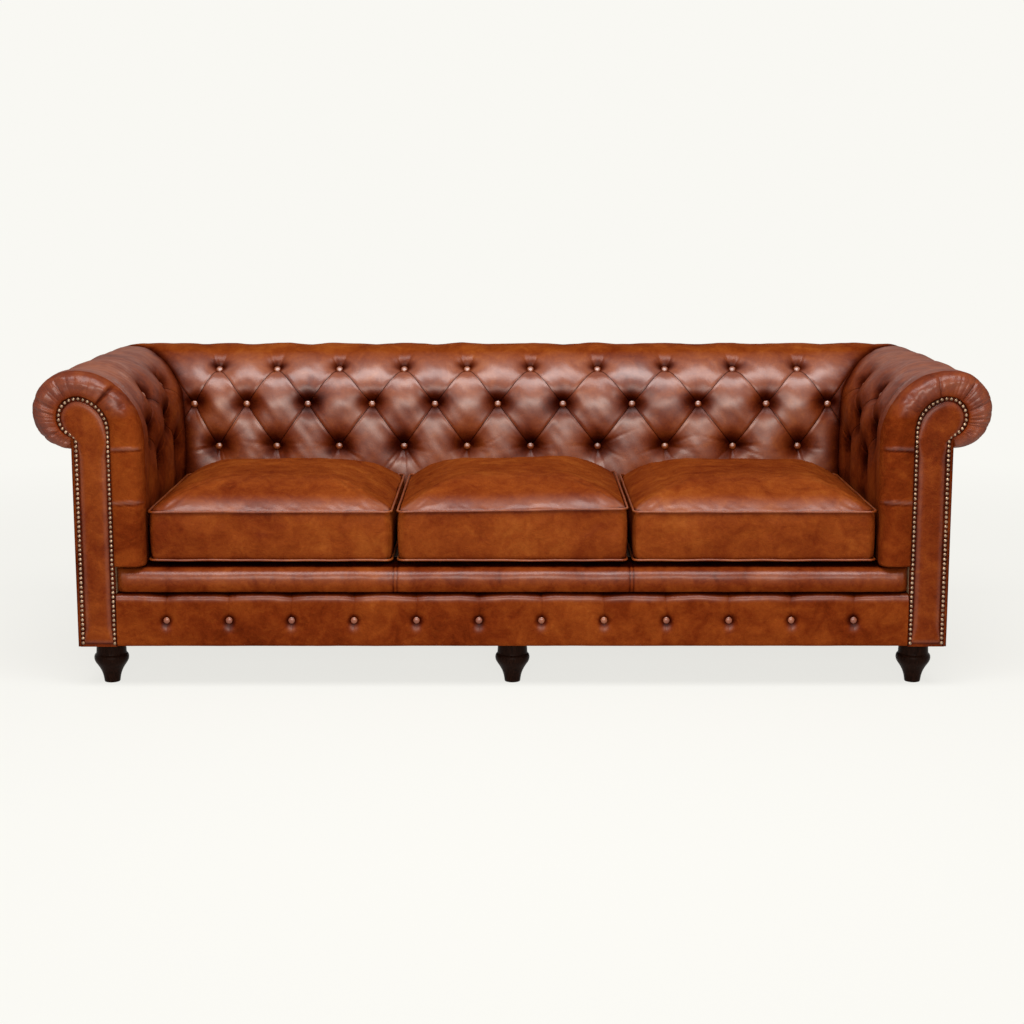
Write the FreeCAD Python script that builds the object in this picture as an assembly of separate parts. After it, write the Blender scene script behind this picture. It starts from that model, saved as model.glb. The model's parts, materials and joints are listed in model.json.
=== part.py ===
import FreeCAD, Part
import math
import os

# Leather sofa with rolled arms and a buttoned back, in millimetres.
# X runs to the right, Y to the back and Z up. The origin is on the floor under the middle.
# A roll profile is drawn in (a, z): a is the distance from the roll's centre line towards
# the seat. The arms and the back share it, so their rolls meet in a mitre at each corner.

Vec = FreeCAD.Vector

# Overall sizes
overall_width = 2300.0
overall_depth = 920.0
overall_height = 773.0
foot_height = 110.0
clearance = 0.3
overrun = 10.0
flat_limit = 0.000001

# Facets, counted so that the whole sofa stays light
roll_chords = 4
tuft_chords = 3
border_chords = 2
turn_chords = 3
facet_sides = 8

# Roll profile of the arms and the back
roll_radius = 96.0
swell_radius = 170.0
pad_thickness = 75.0
scroll_radius = 52.0
scroll_offset = 9.0
scroll_drop = 18.0
shoulder_radius = 117.0
neck_radius = 11.0

# Timber and boards
board_thickness = 28.0
rail_thickness = 28.0
liner_thickness = 4.0
top_rail_drop = 153.0
top_rail_height = 35.0
top_rail_reach = 15.0
stay_rail_height = 30.0
corner_post_width = 57.0
back_post_width = 60.0
back_post_spread = 420.0
stretcher_spread = 320.0
stretcher_height = 60.0
stretcher_low = 150.0
block_leg = 70.0
block_height = 40.0

# Seat platform
rail_top = 264.0
strap_thickness = 2.0
strap_width = 60.0
strap_pitch = 195.0
strap_count = 9
cross_strap_pitch = 165.0
cross_strap_count = 4
cross_strap_middle = -60.0
seat_pad_thickness = 35.0
deck_thickness = 3.0
deck_side_gap = 2.0
deck_front = -340.0

# Panels
panel_thickness = 6.0
dust_cover_thickness = 2.0
facing_thickness = 10.0
facing_recess = 12.0
facing_edge_depth = 5.0
facing_edge_inset = 4.0

# Buttoned pads
tuft_depth = 28.0
seat_half = 12.5
pleat_run_over = 12.0
back_button_drops = (47.0, 152.0, 270.0)
arm_button_drops = (76.0, 166.0, 256.0)
back_column_share = 0.1015
back_column_reach = 9
corner_button_gap = 16.0
arm_first_column = 180.0
arm_column_step = 122.0
arm_column_count = 4
wrap_depth = 45.0
wrap_inset = 30.0
wrap_steps = 4

# Covered buttons
button_radius = 10.0
button_edge = 2.0
button_height = 6.0
button_top_share = 0.62

# Lip and border under the cushions
lip_front_gap = 4.0
lip_height = 62.0
lip_depth = 38.0
lip_bulge = 16.0
lip_end = 15.0
border_front_gap = 10.0
border_corner = 9.0
border_swell = 2.0
border_tuft_depth = 14.0
border_crease = 4.0
border_button_share = 0.1575
border_button_count = 12
border_button_height = 172.0
border_end = 12.0

# Loose cushions
cushion_front_gap = 35.0
cushion_back_gap = 6.0
cushion_side_gap = 5.0
cushion_gap = 9.0
middle_cushion_width = 562.0
cushion_corner = 36.0
cushion_boxing = 121.0
cushion_crown = 62.0
cushion_tuck = 12.0
cushion_waist = 3.0
piping_width = 8.0
piping_bevel = 2.4
cover_thickness = 2.0
zip_length = 440.0
zip_width = 26.0
zip_tape = 1.5
zip_teeth_width = 6.0
zip_teeth_height = 1.2
zip_slot_width = 10.0
zip_slot_margin = 10.0

# Feet
foot_toe_radius = 19.5
foot_calf_radius = 26.0
foot_calf_height = 30.0
foot_shoulder_radius = 42.0
foot_shoulder_height = 58.0
foot_bead_height = 12.0
foot_collar_radius = 34.5
foot_collar_height = 74.0
front_foot_setback = 77.0
back_foot_inset = 77.0
bolt_radius = 4.0
bolt_embed = 22.0
bolt_depth = 30.0
foot_hole_gap = 3.0

# Places that follow from the sizes
front_y = -overall_depth / 2
roll_x = overall_width / 2 - roll_radius
roll_y = overall_depth / 2 - roll_radius
roll_z = overall_height - roll_radius
spring_z = overall_height - swell_radius
back_button_heights = [overall_height - drop for drop in back_button_drops]
arm_button_heights = [overall_height - drop for drop in arm_button_drops]
top_rail_low = overall_height - top_rail_drop
core_face = swell_radius - pad_thickness
scroll_z = roll_z - scroll_drop
facing_y = front_y + facing_recess
board_y = facing_y + facing_thickness
liner_y = board_y + board_thickness
inner_x = roll_x - swell_radius
core_x = roll_x - core_face
back_corner_x = inner_x - corner_button_gap
border_button_pitch = core_x * border_button_share
seat_back_y = roll_y - swell_radius
core_y = roll_y - core_face
rail_a = core_face - liner_thickness
rail_low = foot_height + dust_cover_thickness
side_rail_top = rail_top - strap_thickness
lip_front_y = front_y + lip_front_gap
border_front_y = front_y + border_front_gap
seat_pad_low = rail_top + strap_thickness
deck_low = seat_pad_low + seat_pad_thickness
seat_z = deck_low + deck_thickness
lip_low = seat_z - lip_height
front_rail_y = lip_front_y + lip_depth
front_rail_back = front_rail_y + rail_thickness
lip_x = core_x - clearance
deck_x = core_x - deck_side_gap
deck_back = core_y - clearance
foot_x = roll_x - core_face + board_thickness
front_foot_y = front_y + front_foot_setback
back_foot_y = roll_y - back_foot_inset
cushion_low = seat_z + clearance
cushion_front = front_y + cushion_front_gap
cushion_back = seat_back_y - cushion_back_gap
seam_inset = piping_width + clearance
low_seam_z = cushion_low + piping_width / 2 + clearance
top_seam_z = low_seam_z + cushion_boxing

# Pad states: by a column with upper and lower buttons, halfway, by a column with middle
# buttons, and smooth.
ODD, HALF, EVEN, SMOOTH = range(4)
step_share = (0.14, 0.5, 0.86, 0.5)

# Depths of the pad below its crest at each corner of its section, from the edge under the
# roll down to the seat, and halfway between those corners, as shares of tuft_depth.
corner_shares = (
    (0.0, 0.0, 0.1, 1.0, 1.0, 1.0, 1.0, 0.35),
    (0.0, 0.05, 0.25, 0.55, 0.6, 0.6, 0.3, 0.1),
    (0.0, 0.3, 0.45, 0.5, 1.0, 1.0, 0.12, 0.05),
    (0.0, 0.0, 0.0, 0.0, 0.0, 0.0, 0.0, 0.0),
)
middle_shares = (
    (0.0, 0.0, 0.0, 0.95, 0.0, 0.95, 0.3),
    (0.03, 0.08, 0.12, 0.2, 0.2, 0.25, 0.05),
    (0.2, 0.35, 0.43, 0.0, 0.95, 0.0, -0.06),
    (0.0, 0.0, 0.0, 0.0, -0.03, -0.03, -0.03),
)
wrap_corner_share = (0.3, 0.9, 1.0, 1.0, 1.0, 1.0, 1.0, 1.0)
wrap_middle_share = (0.7, 1.0, 1.0, 1.0, 1.0, 1.0, 1.0)

# Crown of a cushion: how far in from the seam, and how far up, as shares.
crown_in_share = (0.04, 0.12, 0.25, 0.45, 0.75)
crown_up_share = (0.2, 0.48, 0.77, 0.95, 1.0)


def polar(centre, radius, angle):
    """The point at an angle on a circle, in profile coordinates."""
    return (centre[0] + radius * math.cos(angle), centre[1] + radius * math.sin(angle))


def edges_through(place, runs):
    """Edges for runs of profile points: two points make a line, three an arc."""
    edges = []
    for run in runs:
        spots = [place(*point) for point in run]
        if len(spots) == 2:
            edges.append(Part.makeLine(*spots))
        else:
            edges.append(Part.Arc(*spots).toShape())
    return edges


def outline(place, runs):
    return Part.Wire(edges_through(place, runs))


def ring(place, runs, chords):
    """Corner points of a section, with each arc cut into its number of chords."""
    points = []
    for edge, run, count in zip(edges_through(place, runs), runs, chords):
        if len(run) == 2:
            points.append(place(*run[0]))
        else:
            spots = edge.discretize(Number=count + 1)
            if spots[0].distanceToPoint(place(*run[0])) > spots[-1].distanceToPoint(place(*run[0])):
                spots.reverse()
            points += spots[:-1]
    return points


def flat_faces(near, far):
    """Flat faces between two rings: a quadrilateral where it is flat, else two triangles."""
    faces = []
    for number in range(len(near)):
        a, b = near[number - 1], near[number]
        c, d = far[number], far[number - 1]
        normal = b.sub(a).cross(d.sub(a))
        twist = abs(c.sub(a).dot(normal)) / max(normal.Length, clearance)
        corner_sets = ((a, b, c, d),) if twist < flat_limit else ((a, b, c), (a, c, d))
        for corners in corner_sets:
            faces.append(Part.Face(Part.makePolygon(list(corners) + [corners[0]])))
    return faces


def faceted(rings):
    """A closed solid with flat facets through rings of points, which lie in planes."""
    faces = []
    for near, far in zip(rings, rings[1:]):
        faces += flat_faces(near, far)
    for end in (rings[0], rings[-1]):
        faces.append(Part.Face(Part.makePolygon(end + [end[0]])))
    shell = Part.makeShell(faces)
    shell.sewShape()
    solid = Part.makeSolid(shell)
    if solid.Volume < 0:
        solid.reverse()
    return solid.removeSplitter()


def prism(middle, radius, low, height):
    """An upright eight-sided prism, for what is small and round."""
    corners = []
    for corner in range(facet_sides + 1):
        angle = 2 * math.pi * (corner + 0.5) / facet_sides
        corners.append(Vec(middle[0] + radius * math.cos(angle), middle[1] + radius * math.sin(angle), low))
    return Part.Face(Part.makePolygon(corners)).extrude(Vec(0, 0, height))


def block(low, high):
    """A box between two corners."""
    size = Vec(*high).sub(Vec(*low))
    return Part.makeBox(size.x, size.y, size.z, Vec(*low))


def ruled(wires):
    """A solid through closed outlines, straight from each one to the next."""
    return Part.makeLoft(wires, True, True)


def mirrored(shape):
    return shape.mirror(Vec(0, 0, 0), Vec(1, 0, 0))


def on_arm(y):
    """Places profile points on the right arm, at one depth."""
    return lambda a, z: Vec(roll_x - a, y, z)


def on_back(x):
    """Places profile points on the back, at one place across."""
    return lambda a, z: Vec(x, roll_y - a, z)


# The core: what the pads wrap round


def core_arcs(inset):
    """The shoulder, scroll and neck arcs, which meet in common tangents, drawn in by inset."""
    shoulder_a = core_face - shoulder_radius
    rise = math.sqrt((shoulder_radius - scroll_radius) ** 2 - (scroll_offset - shoulder_a) ** 2)
    shoulder = (shoulder_a, scroll_z - rise)
    scroll = (scroll_offset, scroll_z)
    fall = math.sqrt((scroll_radius + neck_radius) ** 2 - (scroll_offset + neck_radius) ** 2)
    neck = (-neck_radius, scroll_z - fall)
    join = math.atan2(rise, scroll_offset - shoulder_a)
    turn = math.atan2(fall, scroll_offset + neck_radius)
    half_way = (join + turn + math.pi) / 2
    arcs = (
        (shoulder, shoulder_radius - inset, 0.0, join),
        (scroll, scroll_radius - inset, join, half_way),
        (scroll, scroll_radius - inset, half_way, turn + math.pi),
        (neck, neck_radius + inset, turn, 0.0),
    )
    return [
        tuple(polar(centre, radius, start + (end - start) * part / 2) for part in range(3))
        for centre, radius, start, end in arcs
    ]


def core_runs(inset, low):
    """The closed outline of the core down to a height."""
    arcs = core_arcs(inset)
    foot = (core_face - inset, low)
    heel = (inset, low)
    return [(foot, arcs[0][0])] + arcs + [(arcs[-1][-1], heel), (heel, foot)]


def core_slab(low, start, length):
    face = Part.Face(outline(on_arm(start), core_runs(0.0, low)))
    return face.extrude(Vec(0, length, 0))


def liner_face(place):
    """A bent board round the core, open on the side of the outer panel."""
    outer = core_arcs(0.0)
    inner = core_arcs(liner_thickness)
    outer_foot = (core_face, seat_z)
    inner_foot = (core_face - liner_thickness, seat_z)
    runs = [(outer_foot, outer[0][0])] + outer + [(outer[-1][-1], inner[-1][-1])]
    runs += [tuple(reversed(run)) for run in reversed(inner)]
    runs += [(inner[0][0], inner_foot), (inner_foot, outer_foot)]
    return Part.Face(outline(place, runs))


def mitre_wedge(side_step):
    """The space past the right corner's mitre: behind it with -1, to the right of it with 1."""
    reach = swell_radius + overrun * 3
    far = (roll_x + side_step * reach, roll_y - side_step * reach)
    points = (
        (roll_x - reach, roll_y - reach),
        far,
        (roll_x + reach, roll_y + reach),
        (roll_x - reach, roll_y - reach),
    )
    base = Part.makePolygon([Vec(x, y, 0) for x, y in points])
    return Part.Face(base).extrude(Vec(0, 0, overall_height + overrun))


def mitred_arm(shape):
    return shape.cut(mitre_wedge(-1))


def mitred_back(shape):
    wedge = mitre_wedge(1)
    return shape.cut(wedge).cut(mirrored(wedge))


# Pads with sewn tufts


def roll_point(along, depth):
    """A point on the roll profile, along it from the top of its straight face."""
    top = swell_radius * math.pi / 2
    if along <= 0:
        return (swell_radius - depth, spring_z + along)
    if along <= top:
        return polar((0, spring_z), swell_radius - depth, along / swell_radius)
    return polar((0, roll_z), roll_radius - depth, math.pi / 2 + (along - top) / roll_radius)


def along_at(height):
    """How far along the profile a height on its seat side is."""
    if height <= spring_z:
        return height - spring_z
    return swell_radius * math.asin((height - spring_z) / swell_radius)


def pad_ring(place, heights, state, inset):
    """A pad's section as a ring of points: the roll has more chords than the tufts."""
    runs = pad_runs(heights, state, inset)
    chords = [roll_chords] * 2 + [tuft_chords] * (len(runs) - 2)
    return ring(place, runs, chords)


def pad_runs(heights, state, inset):
    """The outline of a pad's section, closed inside the core, which is cut out later. The
    pleats run slantwise from button to button, so their places move with the state."""
    upper, middle, lower = (along_at(height) for height in heights)
    top = swell_radius * math.pi / 2
    head = top + pleat_run_over
    step = step_share[state]
    alongs = (
        top + roll_radius * math.pi,
        top + roll_radius * math.pi / 2,
        head + seat_half,
        upper + step * (head - upper),
        upper + step * (middle - upper),
        lower + step * (middle - lower),
        lower - seat_half,
        seat_z - spring_z,
    )
    corners = []
    for along, share, wrap in zip(alongs, corner_shares[state], wrap_corner_share):
        corners.append(roll_point(along, tuft_depth * share + inset * wrap))
    runs = []
    for number, share in enumerate(middle_shares[state]):
        half_way = (alongs[number] + alongs[number + 1]) / 2
        depth = tuft_depth * share + inset * wrap_middle_share[number]
        runs.append((corners[number], roll_point(half_way, depth), corners[number + 1]))
    inner_low = (overrun, seat_z)
    inner_high = (overrun, roll_z - roll_radius)
    runs.append((corners[-1], inner_low))
    runs.append((inner_low, inner_high))
    runs.append((inner_high, corners[0]))
    return runs


def column_stations(columns):
    """Stations either side of each button column and halfway between columns."""
    stations = []
    for number, (place, state) in enumerate(columns):
        if number:
            stations.append(((columns[number - 1][0] + place) / 2, HALF))
        stations.append((place - seat_half, state))
        stations.append((place + seat_half, state))
    return stations


def back_columns():
    columns = []
    for step in range(-back_column_reach, back_column_reach + 1):
        place = step * back_column_share * back_corner_x
        columns.append((place, ODD if step % 2 else EVEN))
    return [(-back_corner_x, EVEN)] + columns + [(back_corner_x, EVEN)]


def arm_columns():
    columns = []
    for step in range(arm_column_count):
        place = front_y + arm_first_column + step * arm_column_step
        columns.append((place, ODD if step % 2 else EVEN))
    return columns


def make_inside_back():
    reach = overall_width / 2 + overrun
    stations = [(-reach, SMOOTH)] + column_stations(back_columns()) + [(reach, SMOOTH)]
    rings = []
    for x, state in stations:
        rings.append(pad_ring(on_back(x), back_button_heights, state, 0.0))
    face = Part.Face(outline(on_back(-reach - overrun), core_runs(0.0, seat_z - overrun)))
    core = face.extrude(Vec(2 * (reach + overrun), 0, 0))
    wedge = mitre_wedge(1)
    return faceted(rings).cut((core, wedge, mirrored(wedge)))


def make_inside_arm():
    rings = []
    for step in range(wrap_steps):
        angle = math.pi / 2 * step / (wrap_steps - 1)
        y = front_y + wrap_depth * (1 - math.cos(angle))
        inset = wrap_inset * (1 - math.sin(angle))
        rings.append(pad_ring(on_arm(y), arm_button_heights, SMOOTH, inset))
    stations = column_stations(arm_columns())
    stations.append((stations[-1][0] + arm_column_step / 2, HALF))
    stations.append((overall_depth / 2 + overrun, SMOOTH))
    for y, state in stations:
        rings.append(pad_ring(on_arm(y), arm_button_heights, state, 0.0))
    core = core_slab(seat_z - overrun, front_y - overrun, overall_depth + 3 * overrun)
    return faceted(rings).cut((core, mitre_wedge(-1)))


# Covered buttons


def covered_button(seat, outward):
    """A shallow dome with flat facets, seated at a point and facing outward."""
    rings = ((button_radius, 0.0), (button_radius, button_edge))
    rings += ((button_radius * button_top_share, button_height),)
    sections = []
    for radius, height in rings:
        corners = []
        for corner in range(facet_sides):
            angle = 2 * math.pi * corner / facet_sides
            corners.append(Vec(radius * math.cos(angle), radius * math.sin(angle), height))
        sections.append(corners)
    dome = faceted(sections)
    dome.Placement = FreeCAD.Placement(seat, FreeCAD.Rotation(Vec(0, 0, 1), outward))
    return dome


def pad_buttons(place_at, columns, heights):
    """Buttons in the tufts: upper and lower rows on odd columns, the middle row on even."""
    buttons = []
    depth = tuft_depth * middle_shares[ODD][3] - clearance
    for place, state in columns:
        rows = (heights[1],) if state == EVEN else (heights[0], heights[2])
        for height in rows:
            along = along_at(height)
            seat = place_at(place)(*roll_point(along, depth))
            outer = place_at(place)(*roll_point(along, 0.0))
            buttons.append(covered_button(seat, outer.sub(seat)))
    return Part.makeCompound(buttons)


def make_back_buttons():
    return pad_buttons(on_back, back_columns(), back_button_heights)


def make_arm_buttons():
    return pad_buttons(on_arm, arm_columns(), arm_button_heights)


# Arm pieces, drawn for the right arm


def make_arm_facing():
    """The facing panel: flat, with its front edge rolled in."""
    edge_y = facing_y + facing_edge_depth
    sections = (
        (facing_y, facing_edge_inset),
        (edge_y, 0.0),
        (board_y, 0.0),
    )
    return ruled([outline(on_arm(y), core_runs(inset, foot_height)) for y, inset in sections])


def make_arm_front_board():
    """The scroll-topped board, rebated along its outer edge for the outside panel."""
    board = core_slab(rail_low, board_y, board_thickness)
    low = (roll_x - panel_thickness, board_y - overrun, foot_height)
    return board.cut(block(low, (roll_x + overrun, liner_y + overrun, panel_top())))


def panel_top():
    """The outer panels end where the core's neck begins."""
    return core_arcs(0.0)[-1][-1][1]


def make_arm_liner():
    face = liner_face(on_arm(liner_y))
    return mitred_arm(face.extrude(Vec(0, overall_depth, 0)))


def top_rail_runs():
    """A flat rail that just fits under the liner's shoulder."""
    high = top_rail_low + top_rail_height
    shoulder_a = core_face - shoulder_radius
    rise = math.sqrt((shoulder_radius - scroll_radius) ** 2 - (scroll_offset - shoulder_a) ** 2)
    drop = high - (scroll_z - rise)
    reach = math.sqrt((shoulder_radius - liner_thickness) ** 2 - drop**2)
    edge = shoulder_a + reach - clearance
    corners = ((-top_rail_reach, top_rail_low), (edge, top_rail_low), (edge, high))
    corners += ((-top_rail_reach, high),)
    return [(corners[number - 1], corners[number]) for number in range(len(corners))]


def make_arm_top_rail():
    face = Part.Face(outline(on_arm(liner_y), top_rail_runs()))
    return mitred_arm(face.extrude(Vec(0, overall_depth, 0)))


def make_side_rail():
    low = (core_x + liner_thickness, liner_y, rail_low)
    return block(low, (low[0] + rail_thickness, roll_y - panel_thickness, side_rail_top))


def make_arm_stay_rail():
    low = (core_x + liner_thickness, liner_y, seat_z)
    high = (low[0] + rail_thickness, roll_y - panel_thickness, seat_z + stay_rail_height)
    return block(low, high)


def make_corner_post():
    """A square post outside the rails, which it joins to the top rails and the panels."""
    high = (roll_x - panel_thickness, roll_y - panel_thickness, top_rail_low)
    return block((high[0] - corner_post_width, high[1] - corner_post_width, rail_low), high)


def make_outside_arm():
    low = (roll_x - panel_thickness, board_y, foot_height)
    return block(low, (roll_x, roll_y - panel_thickness, panel_top()))


# Back pieces


def make_back_liner():
    reach = overall_width / 2
    face = liner_face(on_back(-reach))
    return mitred_back(face.extrude(Vec(overall_width, 0, 0)))


def make_back_top_rail():
    reach = overall_width / 2
    face = Part.Face(outline(on_back(-reach), top_rail_runs()))
    return mitred_back(face.extrude(Vec(overall_width, 0, 0)))


def make_back_rail():
    reach = core_x + liner_thickness
    low = (-reach, roll_y - rail_a, rail_low)
    return block(low, (reach, low[1] + rail_thickness, rail_top))


def make_back_stay_rail():
    reach = core_x + liner_thickness
    low = (-reach, roll_y - rail_a, seat_z)
    return block(low, (reach, low[1] + rail_thickness, seat_z + stay_rail_height))


def make_back_posts():
    """Three uprights behind the rails, from the dust cover up to the top rail."""
    posts = []
    start = roll_y - rail_a + rail_thickness
    for step in (-1, 0, 1):
        middle = step * back_post_spread
        low = (middle - back_post_width / 2, start, rail_low)
        posts.append(block(low, (low[0] + back_post_width, start + rail_thickness, top_rail_low)))
    return Part.makeCompound(posts)


def make_outside_back():
    low = (-roll_x, roll_y - panel_thickness, foot_height)
    return block(low, (roll_x, roll_y, panel_top()))


# Seat platform


def make_front_rail():
    return block((-core_x, front_rail_y, rail_low), (core_x, front_rail_back, rail_top))


def make_seat_stretchers():
    rails = []
    for side in (-1, 1):
        low = (side * stretcher_spread - rail_thickness / 2, front_rail_back, stretcher_low)
        high = (low[0] + rail_thickness, roll_y - rail_a, stretcher_low + stretcher_height)
        rails.append(block(low, high))
    return Part.makeCompound(rails)


def glue_block(corner_x, corner_y, side_x, side_y):
    """A triangular block in a corner of the frame."""
    points = (
        Vec(corner_x, corner_y, rail_low),
        Vec(corner_x + side_x * block_leg, corner_y, rail_low),
        Vec(corner_x, corner_y + side_y * block_leg, rail_low),
        Vec(corner_x, corner_y, rail_low),
    )
    return Part.Face(Part.makePolygon(points)).extrude(Vec(0, 0, block_height))


def make_corner_blocks():
    """Glue blocks in the four corners and one behind the front rail over the middle foot."""
    side = core_x + liner_thickness
    back = roll_y - rail_a
    blocks = [
        glue_block(-side, front_rail_back, 1, 1),
        glue_block(side, front_rail_back, -1, 1),
        glue_block(-side, back, 1, -1),
        glue_block(side, back, -1, -1),
    ]
    low = (-block_leg / 2, front_rail_back, rail_low)
    blocks.append(block(low, (block_leg / 2, front_rail_back + block_leg, rail_low + block_height)))
    return Part.makeCompound(blocks)


def make_seat_webbing():
    """Straps from front to back lie on the rails, over straps from side to side."""
    straps = []
    back = roll_y - rail_a + rail_thickness
    for number in range(strap_count):
        middle = (number - (strap_count - 1) / 2) * strap_pitch
        low = (middle - strap_width / 2, front_rail_y, rail_top)
        straps.append(block(low, (low[0] + strap_width, back, rail_top + strap_thickness)))
    reach = core_x + liner_thickness + rail_thickness
    for number in range(cross_strap_count):
        middle = cross_strap_middle + (number - (cross_strap_count - 1) / 2) * cross_strap_pitch
        low = (-reach, middle - strap_width / 2, side_rail_top)
        straps.append(block(low, (reach, low[1] + strap_width, rail_top)))
    return Part.makeCompound(straps)


def make_seat_pad():
    return block((-deck_x, deck_front, seat_pad_low), (deck_x, deck_back, deck_low))


def make_deck_cover():
    return block((-deck_x, deck_front, deck_low), (deck_x, deck_back, seat_z))


def make_dust_cover():
    """A thin cloth under the frame, open round each foot."""
    low = (-roll_x + panel_thickness, front_rail_y, foot_height)
    cover = block(low, (roll_x - panel_thickness, roll_y - panel_thickness, rail_low))
    radius = foot_collar_radius + foot_hole_gap
    holes = [prism(spot, radius, foot_height - overrun, 2 * overrun) for spot in bolt_spots()]
    return cover.cut(tuple(holes))


# Lip and border


def lip_outline(x, inset):
    """The lip's section: a rounded roll in front, hooked over the front rail."""
    root = lip_front_y + lip_bulge
    top = seat_z - inset
    low = lip_low + inset
    middle = (lip_front_y + inset, (top + low) / 2)
    runs = [
        ((front_rail_y, low), (root, low)),
        ((root, low), middle, (root, top)),
        ((root, top), (deck_front - clearance, top)),
        ((deck_front - clearance, top), (deck_front - clearance, seat_pad_low)),
        ((deck_front - clearance, seat_pad_low), (front_rail_y, seat_pad_low)),
        ((front_rail_y, seat_pad_low), (front_rail_y, low)),
    ]
    return outline(lambda y, z: Vec(x, y, z), runs)


def make_front_lip():
    """The lip's ends are rounded off beside the facings."""
    stations = [(-lip_x, lip_end / 2), (-lip_x + lip_end, 0.0)]
    stations += [(-x, inset) for x, inset in reversed(stations)]
    return ruled([lip_outline(x, inset) for x, inset in stations]).removeSplitter()


def border_ring(x, pulled, inset):
    """The border's section. Pulled is 1 at a button, which draws the front in."""
    face = border_front_y + inset
    crease = border_crease * pulled
    seat = border_tuft_depth * pulled
    low = foot_height
    high = lip_low - clearance
    knees = (
        (face, low + border_corner),
        (face + seat, border_button_height - seat_half),
        (face + seat, border_button_height + seat_half),
        (face + crease, high - border_corner),
    )
    swells = (seat / 3 - border_swell, seat - border_swell / 3, seat / 2 - border_swell)
    runs = [((front_rail_y, low), (face + border_corner, low))]
    turn = border_corner * (1 - math.sqrt(0.5))
    runs.append(((face + border_corner, low), (face + turn, low + turn), knees[0]))
    for number, swell in enumerate(swells):
        half_way = (face + swell, (knees[number][1] + knees[number + 1][1]) / 2)
        runs.append((knees[number], half_way, knees[number + 1]))
    top_turn = (face + crease + turn, high - turn)
    runs.append((knees[3], top_turn, (face + crease + border_corner, high)))
    runs.append(((face + crease + border_corner, high), (front_rail_y, high)))
    runs.append(((front_rail_y, high), (front_rail_y, low)))
    return ring(lambda y, z: Vec(x, y, z), runs, [border_chords] * len(runs))


def border_button_places():
    middle = (border_button_count - 1) / 2
    return [(number - middle) * border_button_pitch for number in range(border_button_count)]


def make_front_border():
    places = border_button_places()
    stations = [(-lip_x, 0.0, border_corner), (-lip_x + border_end, 0.0, 0.0)]
    for number, x in enumerate(places):
        if number:
            stations.append(((places[number - 1] + x) / 2, 0.0, 0.0))
        stations.append((x - seat_half, 1.0, 0.0))
        stations.append((x + seat_half, 1.0, 0.0))
    stations += [(lip_x - border_end, 0.0, 0.0), (lip_x, 0.0, border_corner)]
    return faceted([border_ring(*station) for station in stations])


def make_border_buttons():
    seat_y = border_front_y + border_tuft_depth - border_swell / 3 - clearance
    buttons = []
    for x in border_button_places():
        buttons.append(covered_button(Vec(x, seat_y, border_button_height), Vec(0, -1, 0)))
    return Part.makeCompound(buttons)


# Loose cushions


def cushion_span(number):
    """Left and right edges of a cushion, numbered -1, 0 and 1 from the left."""
    half = middle_cushion_width / 2
    if number == 0:
        return (-half, half)
    edges = (half + cushion_gap, inner_x - cushion_side_gap)
    return edges if number > 0 else (-edges[1], -edges[0])


def rounded_rectangle(span, inset, corner, z):
    """A flat outline inside a cushion's plan, with rounded corners."""
    left, right = span[0] + inset, span[1] - inset
    front, back = cushion_front + inset, cushion_back - inset
    turn = corner * (1 - math.sqrt(0.5))
    runs = [
        ((left + corner, front), (right - corner, front)),
        ((right - corner, front), (right - turn, front + turn), (right, front + corner)),
        ((right, front + corner), (right, back - corner)),
        ((right, back - corner), (right - turn, back - turn), (right - corner, back)),
        ((right - corner, back), (left + corner, back)),
        ((left + corner, back), (left + turn, back - turn), (left, back - corner)),
        ((left, back - corner), (left, front + corner)),
        ((left, front + corner), (left + turn, front + turn), (left + corner, front)),
    ]
    return ring(lambda x, y: Vec(x, y, z), runs, [turn_chords] * len(runs))


def crown_half(span):
    """Half the smaller side of a cushion inside its seams."""
    return min(span[1] - span[0], cushion_back - cushion_front) / 2 - seam_inset


def cushion_body(span):
    """The outside of a cover: drawn-in boxing between the seams, and a crown above."""
    corner = cushion_corner - seam_inset
    rings = [
        rounded_rectangle(span, seam_inset + cushion_tuck, corner, cushion_low),
        rounded_rectangle(span, seam_inset, corner, low_seam_z),
        rounded_rectangle(span, seam_inset + cushion_waist, corner, (low_seam_z + top_seam_z) / 2),
        rounded_rectangle(span, seam_inset, corner, top_seam_z),
    ]
    for in_share, up_share in zip(crown_in_share, crown_up_share):
        inset = seam_inset + in_share * crown_half(span)
        z = top_seam_z + up_share * cushion_crown
        rings.append(rounded_rectangle(span, inset, corner * (1 - in_share), z))
    return faceted(rings)


def cushion_filling(span, gap):
    """The space inside a cover, or the foam that fills it, gap inside the outer leather."""
    inset = seam_inset + cushion_waist + gap
    corner = cushion_corner - inset
    low_inset = seam_inset + cushion_tuck + gap
    share = crown_in_share[2]
    high = top_seam_z + crown_up_share[2] * cushion_crown - 2 * gap
    crown_inset = inset + share * crown_half(span)
    rings = [
        rounded_rectangle(span, low_inset, corner, cushion_low + gap),
        rounded_rectangle(span, inset, corner, low_seam_z + gap),
        rounded_rectangle(span, inset, corner, top_seam_z - gap),
        rounded_rectangle(span, crown_inset, corner * (1 - share), high),
    ]
    return faceted(rings)


def make_cushion_cover(number):
    span = cushion_span(number)
    cover = cushion_body(span).cut(cushion_filling(span, cover_thickness))
    middle = (span[0] + span[1]) / 2
    slot_reach = zip_length / 2 - zip_slot_margin
    zip_z = (low_seam_z + top_seam_z) / 2
    low = (middle - slot_reach, cushion_back - seam_inset - cushion_tuck, zip_z - zip_slot_width / 2)
    high = (middle + slot_reach, cushion_back, zip_z + zip_slot_width / 2)
    return cover.cut(block(low, high))


def make_cushion_core(number):
    return cushion_filling(cushion_span(number), cover_thickness + clearance)


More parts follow.
